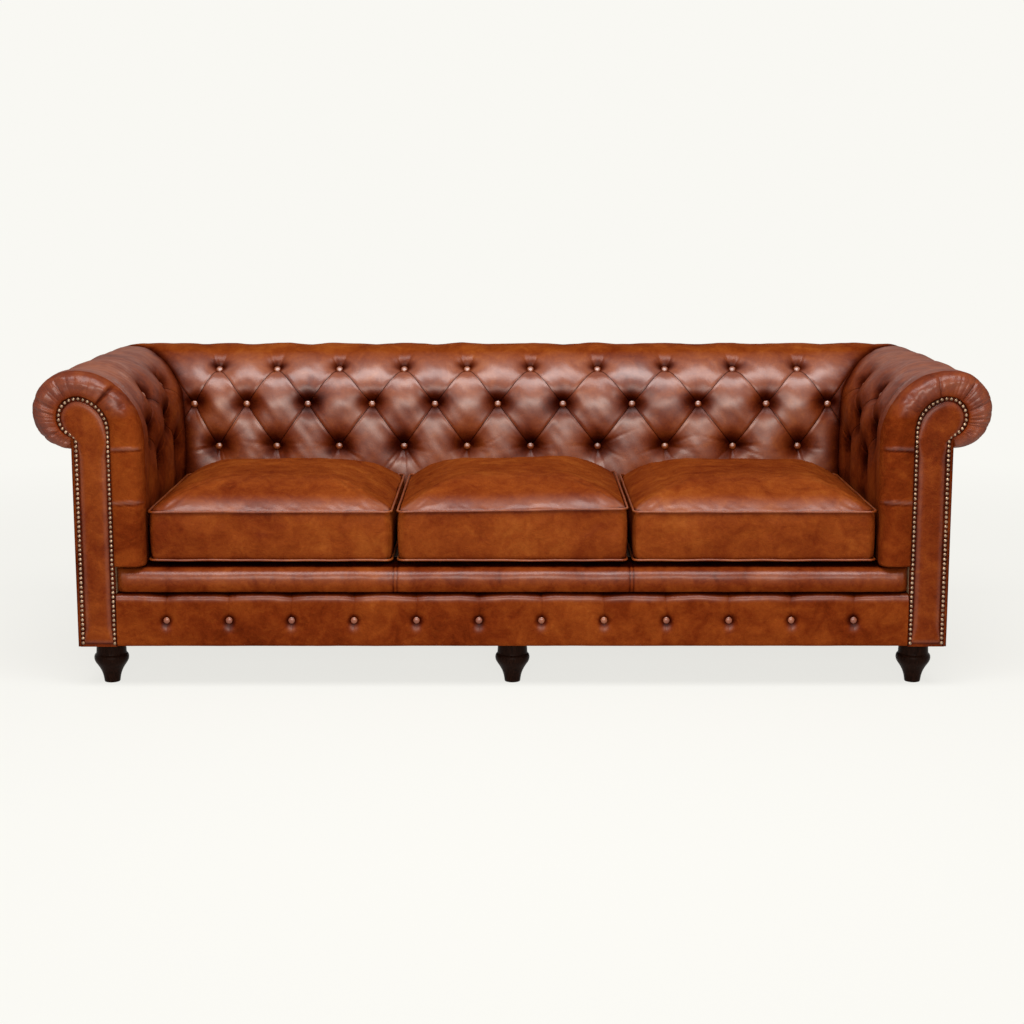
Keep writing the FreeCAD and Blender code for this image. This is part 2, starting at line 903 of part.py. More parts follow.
def make_cushion_piping(number):
    """One welt round each seam of a cushion."""
    span = cushion_span(number)
    welts = []
    for seam_z in (low_seam_z, top_seam_z):
        half = piping_width / 2
        rings = []
        for inset, z in ((piping_bevel, seam_z - half), (0.0, seam_z), (piping_bevel, seam_z + half)):
            rings.append(rounded_rectangle(span, inset, cushion_corner - inset, z))
        inside = cushion_corner - piping_width
        hole = [rounded_rectangle(span, piping_width, inside, seam_z + step * half) for step in (-1, 1)]
        welts.append(faceted(rings).cut(faceted(hole)))
    return Part.makeCompound(welts)


def make_cushion_zip(number):
    """A zip on the back of the boxing: a flat tape with a ridge of teeth."""
    span = cushion_span(number)
    middle = (span[0] + span[1]) / 2
    zip_z = (low_seam_z + top_seam_z) / 2
    slope = zip_width / cushion_boxing
    start = cushion_back - seam_inset - cushion_waist * (1 - slope) + clearance
    low = (middle - zip_length / 2, start, zip_z - zip_width / 2)
    tape = block(low, (low[0] + zip_length, start + zip_tape, low[2] + zip_width))
    teeth_low = (low[0], start + zip_tape, zip_z - zip_teeth_width / 2)
    teeth_high = (low[0] + zip_length, teeth_low[1] + zip_teeth_height, teeth_low[2] + zip_teeth_width)
    return tape.fuse(block(teeth_low, teeth_high)).removeSplitter()


# Feet


def foot_places(y):
    return [(-foot_x, y), (0.0, y), (foot_x, y)]


def turned_foot(x, y):
    """A turned foot: tapered calf, shoulder with a step, and a collar under the frame."""
    corners = (
        Vec(0, 0, 0),
        Vec(foot_toe_radius, 0, 0),
        Vec(foot_calf_radius, 0, foot_calf_height),
        Vec(foot_shoulder_radius, 0, foot_shoulder_height),
        Vec(foot_shoulder_radius, 0, foot_shoulder_height + foot_bead_height),
        Vec(foot_collar_radius, 0, foot_collar_height),
        Vec(foot_collar_radius, 0, rail_low),
        Vec(0, 0, rail_low),
        Vec(0, 0, 0),
    )
    foot = Part.Face(Part.makePolygon(corners)).revolve(Vec(0, 0, 0), Vec(0, 0, 1), 360)
    foot = foot.cut(prism((0, 0), bolt_radius, rail_low - bolt_depth, bolt_depth))
    foot.translate(Vec(x, y, 0))
    return foot


def make_feet(y):
    return Part.makeCompound([turned_foot(x, place_y) for x, place_y in foot_places(y)])


def bolt_spots():
    """Every foot has one bolt, which goes up into the rail or block over it."""
    return foot_places(front_foot_y) + foot_places(back_foot_y)


def with_bolt_holes(shape):
    """A rail or block, drilled where the feet's bolts enter it."""
    holes = [prism(spot, bolt_radius, rail_low, bolt_embed) for spot in bolt_spots()]
    return shape.cut(tuple(holes))


def make_foot_bolts():
    length = bolt_depth + bolt_embed
    low = rail_low - bolt_depth
    return Part.makeCompound([prism(spot, bolt_radius, low, length) for spot in bolt_spots()])


def collect_parts():
    parts = {
        "front_rail": with_bolt_holes(make_front_rail()),
        "back_rail": with_bolt_holes(make_back_rail()),
        "seat_stretchers": make_seat_stretchers(),
        "corner_blocks": with_bolt_holes(make_corner_blocks()),
        "seat_webbing": make_seat_webbing(),
        "seat_pad": make_seat_pad(),
        "deck_cover": make_deck_cover(),
        "dust_cover": make_dust_cover(),
        "front_lip": make_front_lip(),
        "front_border": make_front_border(),
        "border_buttons": make_border_buttons(),
        "back_top_rail": make_back_top_rail(),
        "back_stay_rail": make_back_stay_rail(),
        "back_posts": make_back_posts(),
        "back_liner": make_back_liner(),
        "inside_back": make_inside_back(),
        "back_buttons": make_back_buttons(),
        "outside_back": make_outside_back(),
        "front_feet": make_feet(front_foot_y),
        "back_feet": make_feet(back_foot_y),
        "foot_bolts": make_foot_bolts(),
    }
    arm_pieces = {
        "arm_front_board": make_arm_front_board(),
        "arm_top_rail": make_arm_top_rail(),
        "arm_stay_rail": make_arm_stay_rail(),
        "arm_liner": make_arm_liner(),
        "side_rail": with_bolt_holes(make_side_rail()),
        "corner_post": make_corner_post(),
        "inside_arm": make_inside_arm(),
        "arm_buttons": make_arm_buttons(),
        "arm_facing": make_arm_facing(),
        "outside_arm": make_outside_arm(),
    }
    for name, shape in arm_pieces.items():
        parts[name + "_right"] = shape
        parts[name + "_left"] = mirrored(shape)
    for side, number in (("left", -1), ("middle", 0), ("right", 1)):
        parts["cushion_cover_" + side] = make_cushion_cover(number)
        parts["cushion_core_" + side] = make_cushion_core(number)
        parts["cushion_piping_" + side] = make_cushion_piping(number)
        parts["cushion_zip_" + side] = make_cushion_zip(number)
    return parts


os.makedirs("parts", exist_ok=True)
for name, shape in collect_parts().items():
    shape.exportStep(os.path.join("parts", name + ".step"))
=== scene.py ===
import json

import bpy
import numpy as np
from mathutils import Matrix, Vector


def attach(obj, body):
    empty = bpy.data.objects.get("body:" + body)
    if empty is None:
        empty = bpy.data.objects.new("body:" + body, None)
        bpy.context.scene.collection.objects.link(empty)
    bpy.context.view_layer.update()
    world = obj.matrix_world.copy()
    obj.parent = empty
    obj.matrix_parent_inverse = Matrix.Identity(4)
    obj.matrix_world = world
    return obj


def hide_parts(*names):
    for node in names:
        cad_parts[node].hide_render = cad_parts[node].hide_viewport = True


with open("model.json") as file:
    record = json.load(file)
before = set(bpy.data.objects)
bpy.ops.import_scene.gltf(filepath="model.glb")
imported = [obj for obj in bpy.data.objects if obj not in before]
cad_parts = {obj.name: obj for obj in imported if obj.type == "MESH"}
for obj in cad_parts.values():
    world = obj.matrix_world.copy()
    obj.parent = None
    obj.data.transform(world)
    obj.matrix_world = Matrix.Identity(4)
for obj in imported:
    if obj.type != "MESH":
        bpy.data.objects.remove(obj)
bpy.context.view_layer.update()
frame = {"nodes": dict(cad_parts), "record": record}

# Lengths are in millimetres, as in the part's source, until a mesh is made.
MM = 0.001
PI = np.pi

# The roll profile that the arms and the back share. Places along it are 0 at the spring line,
# TOP where the swell meets the roll, END at the neck behind and FOOT at the pad's lower edge.
ROLL_X, ROLL_Y, ROLL_Z, SPRING_Z = 1054.0, 364.0, 677.0, 603.0
ROLL_R, SWELL_R, CORE_A = 96.0, 170.0, 95.0
TOP = SWELL_R * PI / 2
END = TOP + ROLL_R * PI
HEAD, FOOT = TOP + 12.0, -302.0

# Depths below the crest: a tuft at most, a mitre seam, and a funnel with its radius
TUFT, SEAM, FUNNEL, FUNNEL_R = 28.0, 10.0, 22.5, 24.0

# Heights and planes of the seat and the arm fronts
FRONT_Y, FACING_Y, ARM_EDGE, WRAP_STEP = -460.0, -448.0, -414.0, 3.5
SEAT_Z, PANEL_LOW, PANEL_TOP, WRAP_LOW = 304.0, 110.0, 599.0, 101.5
BORDER_TOP, BORDER_BUTTONS, BORDER_Y, BORDER_BACK = 233.5, 166.5, -449.0, -421.0
LIP_Y, LIP_Z, LIP_OUT, LIP_HALF, LIP_END = -418.0, 264.0, 38.0, 30.5, 958.0
LIP_SEAMS, SEAM_GAP = (-283.0, 288.0), 4.5
ARM_TUCKS = (584.0, 454.0)
TRIM_LINE, NAIL_LINE, NAIL_PITCH = 6.2, 6.0, 11.45

# Buttons: places along the profile, columns across the back as the leather was sewn, columns
# along the arms from the front, and columns of the border
BACK_ROWS = (-100.0, 18.0, 137.6)
ARM_ROWS = (-86.0, 4.0, 99.6)
BACK_COLUMNS = (-864, -800, -722, -642, -556, -472, -381, -295, -210, -123, -39,
                50, 138, 233, 326, 417, 506, 602, 691, 779, 858)
ARM_COLUMNS = (-280.0, -158.0, -36.0, 86.0)
ARM_STEP = 122.0
BORDER_COLUMNS = (np.arange(12) - 5.5) * 151.4 - 5.5
STEPS = 26

# Loose cushions and feet
CUSHIONS = {"left": (-884.0, -289.0), "middle": (-282.0, 282.0), "right": (289.0, 884.0)}
CUSHION_FRONT, CUSHION_BACK, CUSHION_LOW = -425.0, 188.0, 304.6
LOW_SEAM, TOP_SEAM, CROWN = 311.0, 429.6, 61.5
SEWN, CORNER, CORD_R = 6.5, 13, 2.7
FEET_X, FEET_Y = (-987.0, 0.0, 987.0), (("front", -383.0), ("back", 287.0))


# Small formulas


def unit(value):
    """A value held between 0 and 1."""
    return np.clip(value, 0, 1)


def bell(ratio, power=2):
    """exp(-ratio^power): 1 at a ratio of 0, and about a third of it at 1."""
    return np.exp(-(ratio ** power))


# Meshes

# Defaults per point: the painted light and shade (1 where nothing is painted), pleat and polish
SKIN_DEFAULTS = {"crest": 1.0, "pleat": 0.0, "polish": 0.03}


def make_piece(name, shapes, finish, body="sofa_frame"):
    """One object from shapes, each a dict of points (n, 3) in mm, a list of face arrays, and
    optionally uv (n, 2) and three values per point, whose defaults are in the dict above: the
    painted light and shade, which is 1 on a pad's crests, falls towards 0 where shade is
    painted into its hollows, creases and seams, and stands above 1 where light is painted on
    a top; pleat, how sharply it is folded along its pleats, which also sets the shade painted
    along the pleat lines; and polish, how shiny it is."""
    points, faces, uv, start = [], [], [], 0
    for shape in shapes:
        count = len(shape["points"])
        points.append(shape["points"])
        for group in shape["faces"]:
            faces.extend((np.asarray(group) + start).tolist())
        uv.append(shape.get("uv", np.zeros((count, 2))))
        start += count
    mesh = bpy.data.meshes.new(name)
    mesh.from_pydata(np.concatenate(points) * MM, [], faces)
    corner = np.empty(len(mesh.loops), np.int32)
    mesh.loops.foreach_get("vertex_index", corner)
    layer = mesh.uv_layers.new(name="pleats")
    layer.uv.foreach_set("vector", np.concatenate(uv)[corner].astype(np.float32).ravel())
    for key, usual in SKIN_DEFAULTS.items():
        values = [shape.get(key, np.full(len(shape["points"]), usual)) for shape in shapes]
        layer = mesh.attributes.new(key, "FLOAT", "POINT")
        layer.data.foreach_set("value", np.concatenate(values).astype(np.float32))
    mesh.shade_smooth()
    mesh.materials.append(finish)
    mesh.update()
    piece = bpy.data.objects.new(name, mesh)
    bpy.context.scene.collection.objects.link(piece)
    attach(piece, body)
    return piece


def grid(points, wrap_rows=False, wrap_columns=False, caps=False, depth=None, flip=False, **extra):
    """Faces over a grid of points (rows, columns, 3). Rows or columns may close on themselves,
    caps close the first and last column, and where depth is given each quadrilateral is cut
    along its deeper diagonal, so that a pleat along a diagonal stays one clean line."""
    rows, columns = points.shape[:2]
    index = np.arange(rows * columns).reshape(rows, columns)
    ends = [index[:, 0][::-1], index[:, -1]] if caps else []
    if wrap_rows:
        index = np.vstack([index, index[:1]])
    if wrap_columns:
        index = np.hstack([index, index[:, :1]])
    corners = (index[:-1, :-1], index[:-1, 1:], index[1:, 1:], index[1:, :-1])
    a, b, c, d = (part.ravel() for part in corners)
    if depth is None:
        faces = [np.stack([a, b, c, d], 1)]
    else:
        deep = depth.ravel()
        other = (deep[b] + deep[d] > deep[a] + deep[c])[:, None]
        first = np.where(other, np.stack([a, b, d], 1), np.stack([a, b, c], 1))
        second = np.where(other, np.stack([b, c, d], 1), np.stack([a, c, d], 1))
        faces = [first, second]
    faces += [end[None, :] for end in ends]
    if flip:
        faces = [group[:, ::-1] for group in faces]
    return {"points": points.reshape(-1, 3), "faces": faces, **extra}


def closed_rings(rings):
    """A shape from rings of points, each anticlockwise from above, closed below and above."""
    shape = grid(rings, wrap_columns=True)
    ring = np.arange(rings.shape[1])
    shape["faces"] += [ring[None, ::-1], (ring + ring.size * (len(rings) - 1))[None, :]]
    return shape


def mirrored(shape):
    """The same shape on the other side of X = 0, with its faces turned to point out."""
    faces = [np.asarray(group)[:, ::-1] for group in shape["faces"]]
    return {**shape, "points": shape["points"] * (-1, 1, 1), "faces": faces}


def ripple(x, y, size, seed):
    """A gentle uneven surface, about -1 to 1: the sum of eight plane waves of about one size,
    in directions and phases drawn from a seed, over the square root of their number."""
    waves = np.random.default_rng(seed)
    total = np.zeros(np.broadcast(x, y).shape)
    draws = [waves.uniform(low, high, 8) for low, high in ((0, PI), (0, 2 * PI), (0.7, 1.5))]
    for turn, phase, stretch in zip(*draws):
        across = x * np.cos(turn) + y * np.sin(turn)
        total += np.cos(across * 2 * PI / (size * stretch) + phase)
    return total / 2.83


def creases(place, places, width):
    """1 on each of some places along a line, falling off as exp(-distance / width)."""
    return np.max([np.exp(-np.abs(place - spot) / width) for spot in places], axis=0)


# The roll profile


def roll(along, depth=0.0):
    """The pad's profile: straight up to the spring line, a quarter round of the swell, then a
    half round of the roll. Gives (a, z) and the outward normal at a distance along it."""
    on_roll = along > TOP
    turn = np.where(on_roll, PI / 2 + (along - TOP) / ROLL_R, np.clip(along, 0, TOP) / SWELL_R)
    radius = np.where(on_roll, ROLL_R, SWELL_R) - depth
    a = radius * np.cos(turn)
    z = np.where(on_roll, ROLL_Z, SPRING_Z) + radius * np.sin(turn) + np.minimum(along, 0)
    return a, z, np.cos(turn), np.sin(turn)


# Outlines of the arm front's core and of its facing, as scroll takes them
CORE = (CORE_A, 117.0, (9.0, 659.0), 52.0, 11.0, 0.0)
FACING = (CORE_A, 86.0, (18.5, 662.0), 51.0, 10.0, 7.0)


def scroll(share, outline, inset=0.0):
    """An arm front's outline from the spring line over the scroll to the neck, by share of its
    length: three tangent arcs, each a centre plus a radius times (cos, sin). An outline is its
    face, shoulder radius, scroll centre and radius, neck radius and outer side."""
    face, shoulder_r, (scroll_a, scroll_z), scroll_r, neck_r, outer = outline
    shoulder_a, neck_a = face - shoulder_r, outer - neck_r
    rise = np.sqrt((shoulder_r - scroll_r) ** 2 - (scroll_a - shoulder_a) ** 2)
    fall = np.sqrt((scroll_r + neck_r) ** 2 - (scroll_a - neck_a) ** 2)
    join, turn = np.arctan2(rise, scroll_a - shoulder_a), np.arctan2(fall, scroll_a - neck_a)
    stops = np.cumsum([0, shoulder_r * join, scroll_r * (PI + turn - join), neck_r * turn])
    s = np.clip(share, 0, 1) * stops[-1]
    part = np.clip(np.searchsorted(stops, s, side="right") - 1, 0, 2)
    angles = [s / shoulder_r, join + (s - stops[1]) / scroll_r, turn - (s - stops[2]) / neck_r]
    angle = np.choose(part, angles)
    radius = np.choose(part, [shoulder_r - inset, scroll_r - inset, neck_r + inset])
    a = np.choose(part, [shoulder_a, scroll_a, neck_a]) + radius * np.cos(angle)
    z = np.choose(part, [scroll_z - rise, scroll_z, scroll_z - fall]) + radius * np.sin(angle)
    return a, z


def under(along, outline, inset=0.0):
    """The outline's point under each place along the roll profile. Below the spring line it
    runs straight down, by a share of the outline's own straight part."""
    face, shoulder_r, (scroll_a, scroll_z), scroll_r, _, _ = outline
    a, z = scroll(along / END, outline, inset)
    low = scroll_z - np.sqrt((shoulder_r - scroll_r) ** 2 - (scroll_a - face + shoulder_r) ** 2)
    straight = along < 0
    level = low + along * (low - SEAT_Z) / (SPRING_Z - SEAT_Z)
    return np.where(straight, face - inset, a), np.where(straight, level, z)


# Buttoned pads


def groove(x, along, spot, turn, length, deep, width=2.6, bend=0.0):
    """A groove that runs out from a spot: deep exp(-(across / width)^2 - (out / length)^2),
    which starts 5 mm out, and bends aside by bend out^2."""
    dx, dv = x - spot[0], along - spot[1]
    out = dx * np.cos(turn) + dv * np.sin(turn)
    across = dv * np.cos(turn) - dx * np.sin(turn) + bend * out**2
    return deep * np.exp(-((across / width) ** 2) - (out / length) ** 2) * unit((out - 5) / 8)


def folds(x, along, spots, seed):
    """Short folds that run out from each button: level ones and downward ones at the lowest
    row, two upward ones and a widening hollow above the highest, and small ones elsewhere."""
    draw = np.random.default_rng(seed)
    depth = np.zeros_like(x)
    low_row, high_row = min(spot[1] for spot in spots), max(spot[1] for spot in spots)
    for spot in spots:
        for number in range(10 if spot[1] == low_row else 5):
            turn = draw.uniform(0, 2 * PI)
            length, deep = draw.uniform(18, 32), draw.uniform(0.4, 1.2)
            if spot[1] == low_row:
                turn = draw.choice([0, PI, -PI / 2, -PI / 2]) + draw.normal(0, 0.34)
                length, deep = draw.uniform(26, 66), draw.uniform(1.2, 3.0)
            depth += groove(x, along, spot, turn, length, deep, bend=draw.normal(0, 0.0015))
        if spot[1] == high_row:
            for turn in (PI / 2 - 0.42, PI / 2 + 0.38):
                depth += groove(x, along, spot, turn, 42, 3.2, 5.0)
            rise = (along - spot[1]).clip(0)
            wide = (x - spot[0]) / (9 + 0.5 * rise)
            depth += 3.0 * np.exp(-(wide ** 2) - rise / 34) * (rise > 0)
    return depth


def tufting(x, along, u, v, spots, seed, strength, hollow=5.2, dark=((28, 19), (45, 38))):
    """Depth in mm below the crests at column u and row v. With p = (u+v+1)/2 and q = (u-v+1)/2,
    which are whole numbers along the pleats, s = |sin(pi p)| and t = |sin(pi q)|, the depth is
    a shallow hollow 1 - (2 - cos 2pi p - cos 2pi q) / 4, a narrow crease
    (1 - min(s, t) / 0.13)^1.6, and round every button a funnel exp(-(r / 24)^1.35) with its
    folds. Its painted shade is exp(-r^2.1) over an uneven ellipse just above each button: the
    first of dark at the highest row, and the second below it."""
    c = np.clip(v, 0, 3.0)
    p, q = (u + c + 1) / 2, (u - c + 1) / 2
    s, t = np.abs(np.sin(PI * p)), np.abs(np.sin(PI * q))
    broad = (2 - np.cos(2 * PI * p) - np.cos(2 * PI * q)) / 4
    crease = unit(1 - np.minimum(s, t) / 0.13) ** 1.6
    near = np.interp(v, [-2.2, -0.8, 0, 2, 2.5, 3, 4.2], [0.4, 0.6, 1, 1, 0.55, 0.3, 0.1])
    near = near * strength
    sharp = np.interp(v, [-0.6, -0.1, 0, 2, 2.12, 2.3], [0.0, 0.35, 1, 1, 0.3, 0.0]) * strength
    depth = near * hollow * (1 - broad) + sharp * 2.4 * crease
    shade = 0.03 * hollow * (1 - broad) * near
    high_row = max(spot[1] for spot in spots)
    for spot_x, spot_along in spots:
        dx, dv = x - spot_x, along - spot_along
        depth += FUNNEL * bell(np.hypot(dx, dv) / FUNNEL_R, 1.35)
        wide, tall = dark[spot_along < high_row]
        uneven = 0.08 * np.sin(3 * np.arctan2(dv, dx) + spot_x)
        r = np.hypot(dx / wide, (dv - 5) / tall) + uneven
        shade = np.maximum(shade, bell(r.clip(0), 2.1))
    depth += folds(x, along, spots, seed + 5)
    depth += 0.7 * ripple(x, along, 105, seed) + 0.25 * ripple(x, along, 34, seed + 1)
    return np.minimum(depth, TUFT - 0.5), shade, np.stack([u, c], -1), sharp


def finished_pad(points, shade, polish, depth, uv, pleat, inner):
    """The pad's whole skin: the sewn face and, behind it, rows of points on its core."""
    size = inner.shape[:2]
    dark = np.zeros(size)
    deep = np.concatenate([depth, np.full(size, 40.0)])
    waxed = polish * (1 - shade).clip(0, 1) ** 1.8
    shape = grid(np.concatenate([points, inner]), wrap_rows=True, caps=True, depth=deep)
    shape["uv"] = np.concatenate([uv, np.zeros((*size, 2))]).reshape(-1, 2)
    # Painted light and shade: 1 - shade on the face, full painted shade on the core behind
    shape["crest"] = np.clip(1 - np.concatenate([shade, np.ones(size)]), 0, 1.4).ravel()
    shape["pleat"] = np.concatenate([pleat, dark]).ravel()
    shape["polish"] = np.concatenate([waxed, dark]).ravel()
    return shape


def loop_rows(along):
    """Places on the core that close a pad's section behind, from the neck back to the seat."""
    return np.linspace(END, along[0], 18)[1:-1]


def pad_along(rows, counts=(40, STEPS, STEPS, STEPS, 56)):
    """Rows of the grid: the same number of steps between button rows as between columns."""
    stops = (FOOT, *rows, HEAD, END)
    parts = [np.linspace(stops[k], stops[k + 1], counts[k], endpoint=False) for k in range(5)]
    return np.concatenate(parts + [[END]])[:, None]


def row_places(along, rows, low, high):
    """Row numbers up the profile. Between rows they run evenly with the height that someone
    in front sees, 0.985 z - 0.169 a, so that the pleats look straight on the curved roll."""
    def height(place):
        a, z, _, _ = roll(np.asarray(place, float))
        return 0.985 * z - 0.169 * a
    even = np.interp(height(along), height(rows), (0, 1, 2))
    outside = np.interp(along, (FOOT, rows[0], rows[2], HEAD, END), (low, 0, 2, 3, high))
    return np.where((along > rows[0]) & (along < rows[2]), even, outside)


def seam_valley(depth, reach):
    """Draws the pattern in to one depth at the mitre seam, over a reach in mm."""
    return depth * (1 - bell(reach / 12)) + SEAM * np.exp(-reach / 13)


def seam_shade(along, reach, width, power):
    """Shade beside a mitre seam, 0.95 exp(-(reach / width)^power), which is 9 mm wide on the
    roll."""
    return 0.95 * bell(reach / np.interp(along, [TOP - 90, TOP], [width, 9]), power)


def tufts(columns, rows):
    """Every second crossing of the columns and the rows, as (across, along)."""
    return [(across, along) for row, along in enumerate(rows)
            for k, across in enumerate(columns) if (k + row) % 2]


BACK_SPOTS, ARM_SPOTS = tufts(BACK_COLUMNS, BACK_ROWS), tufts(ARM_COLUMNS, ARM_ROWS)


def inside_back():
    """The back's pad between its two mitre seams, where the pattern is drawn in. On the roll
    it sinks by 3 (1 - 0.8 |sin(pi u / 2)|), and above each button of the highest row lies a
    polished patch, exp(-(dx / (4 + rise / 2))^2 - (rise / 24)^2)."""
    along = pad_along(BACK_ROWS)
    rows = row_places(along, BACK_ROWS, -1.75, 4.9)
    first, last = BACK_COLUMNS[0], BACK_COLUMNS[-1]
    cells = [np.linspace(a, b, STEPS, endpoint=False)
             for a, b in zip(BACK_COLUMNS, BACK_COLUMNS[1:])]
    middle = np.concatenate(cells + [[last]])[None, :]
    end = ROLL_X - roll(along, SEAM)[0]
    shares = np.linspace(0, 1, 41)[1:][None, :]
    right = last + (end - last) * shares
    left = (first - (end + first) * shares)[:, ::-1]
    x = np.concatenate([left, np.broadcast_to(middle, (len(along), middle.size)), right], 1)
    u = np.interp(x, BACK_COLUMNS, np.arange(-10, 11))
    beyond = np.maximum(x - last, first - x).clip(0)
    u = u + np.sign(x) * beyond / 75
    fade = unit(1 - (beyond - 20) / 60)
    depth, shade, uv, pleat = tufting(x, along + 0 * x, u, rows + 0 * x, BACK_SPOTS, 11, fade)
    depth += 3.0 * unit((along - TOP + 70) / 60) * (1 - np.abs(np.sin(PI * u / 2)) * 0.8)
    reach = end - np.abs(x)
    depth = seam_valley(depth, reach)
    shade = np.maximum(shade, seam_shade(along, reach, 34, 1.4))
    a, z, _, _ = roll(along, depth)
    outer = np.stack([x, ROLL_Y - a, z], -1)
    core_a, core_z = under(loop_rows(along[:, 0])[:, None], CORE)
    across = x[-1:] / x[-1, -1]
    level = 0 * across
    inner = np.stack([across * (ROLL_X - core_a), ROLL_Y - core_a + level, core_z + level], -1)
    waxed = np.interp(rows, [-2, 0, 2.0, 2.4, 3.0, 4.9], [1.0, 1, 0.85, 0.0, 0.04, 0.12])
    polish = waxed * (0.9 + 0.1 * ripple(x, along, 150, 8))
    for spot_x, spot_along in BACK_SPOTS:
        if spot_along == BACK_ROWS[2]:
            rise = (along - spot_along - 8).clip(0)
            wide = (x - spot_x) / (4 + 0.5 * rise)
            glint = np.exp(-(wide ** 2) - (rise / 24) ** 2) * (rise > 0)
            polish = np.maximum(polish, 0.9 * glint)
    return finished_pad(outer, shade, polish, depth, uv, pleat, inner)


def scroll_gathers(along, y, wrap, seed):
    """Gathers where the leather is drawn in round the arm's front: 26 fine ones and 7 broad
    ones, each exp(-distance / width) across, a little aslant and from its own start on the
    wrap, with a fine uneven pull between them."""
    draw = np.random.default_rng(seed)
    fine = np.cumsum(draw.uniform(8, 24, 26)) + 96
    places = np.concatenate([fine, draw.uniform(150, END - 20, 7)])
    strengths = np.concatenate([draw.uniform(0.6, 1.8, 26), draw.uniform(3.0, 5.5, 7)])
    widths = np.concatenate([draw.uniform(1.8, 3.2, 26), draw.uniform(3.0, 5.0, 7)])
    lean = along + draw.uniform(0.04, 0.12) * (y - ARM_EDGE) * np.sin(along / 40)
    gathered = np.zeros_like(y)
    for place, deep, width in zip(places, strengths, widths):
        start = draw.uniform(0.1, 0.6)
        rising_in = ((wrap - start) / (1 - start)).clip(0)
        gathered += rising_in * deep * np.exp(-np.abs(lean - place) / width)
    gathered += wrap * 0.6 * (1 + ripple(along / 2, y, 22, seed + 2)) * (along > 90)
    return gathered


def arm_wrap(along, turn, share, deep):
    """The leather round the arm's front edge, for a turn from 0 to pi. It goes by share from
    the roll profile to the facing's outline, and forwards to a crown by sin(turn)^0.72, then
    back to the nail line by sin(turn)^0.55. The crown is 45.5 mm ahead, less at the neck."""
    a0, z0, na, nz = roll(along)
    edge_a, edge_z = under(along, FACING, 1.0)
    room = np.clip(np.hypot(a0 - edge_a, z0 - edge_z) / 52, 0.3, 1)
    crown = ARM_EDGE - 45.5 * room
    opening = turn < PI / 2
    rounding = np.where(opening, np.sin(turn) ** 0.72, np.sin(turn) ** 0.55)
    y = crown + (np.where(opening, ARM_EDGE, FACING_Y + WRAP_STEP) - crown) * (1 - rounding)
    out = np.cos(turn).clip(0)
    a = edge_a + (a0 - edge_a) * share - na * out * deep
    z = edge_z + (z0 - edge_z) * share - nz * out * deep
    return np.stack([ROLL_X - a, y + np.sin(turn) * deep, z], -1)


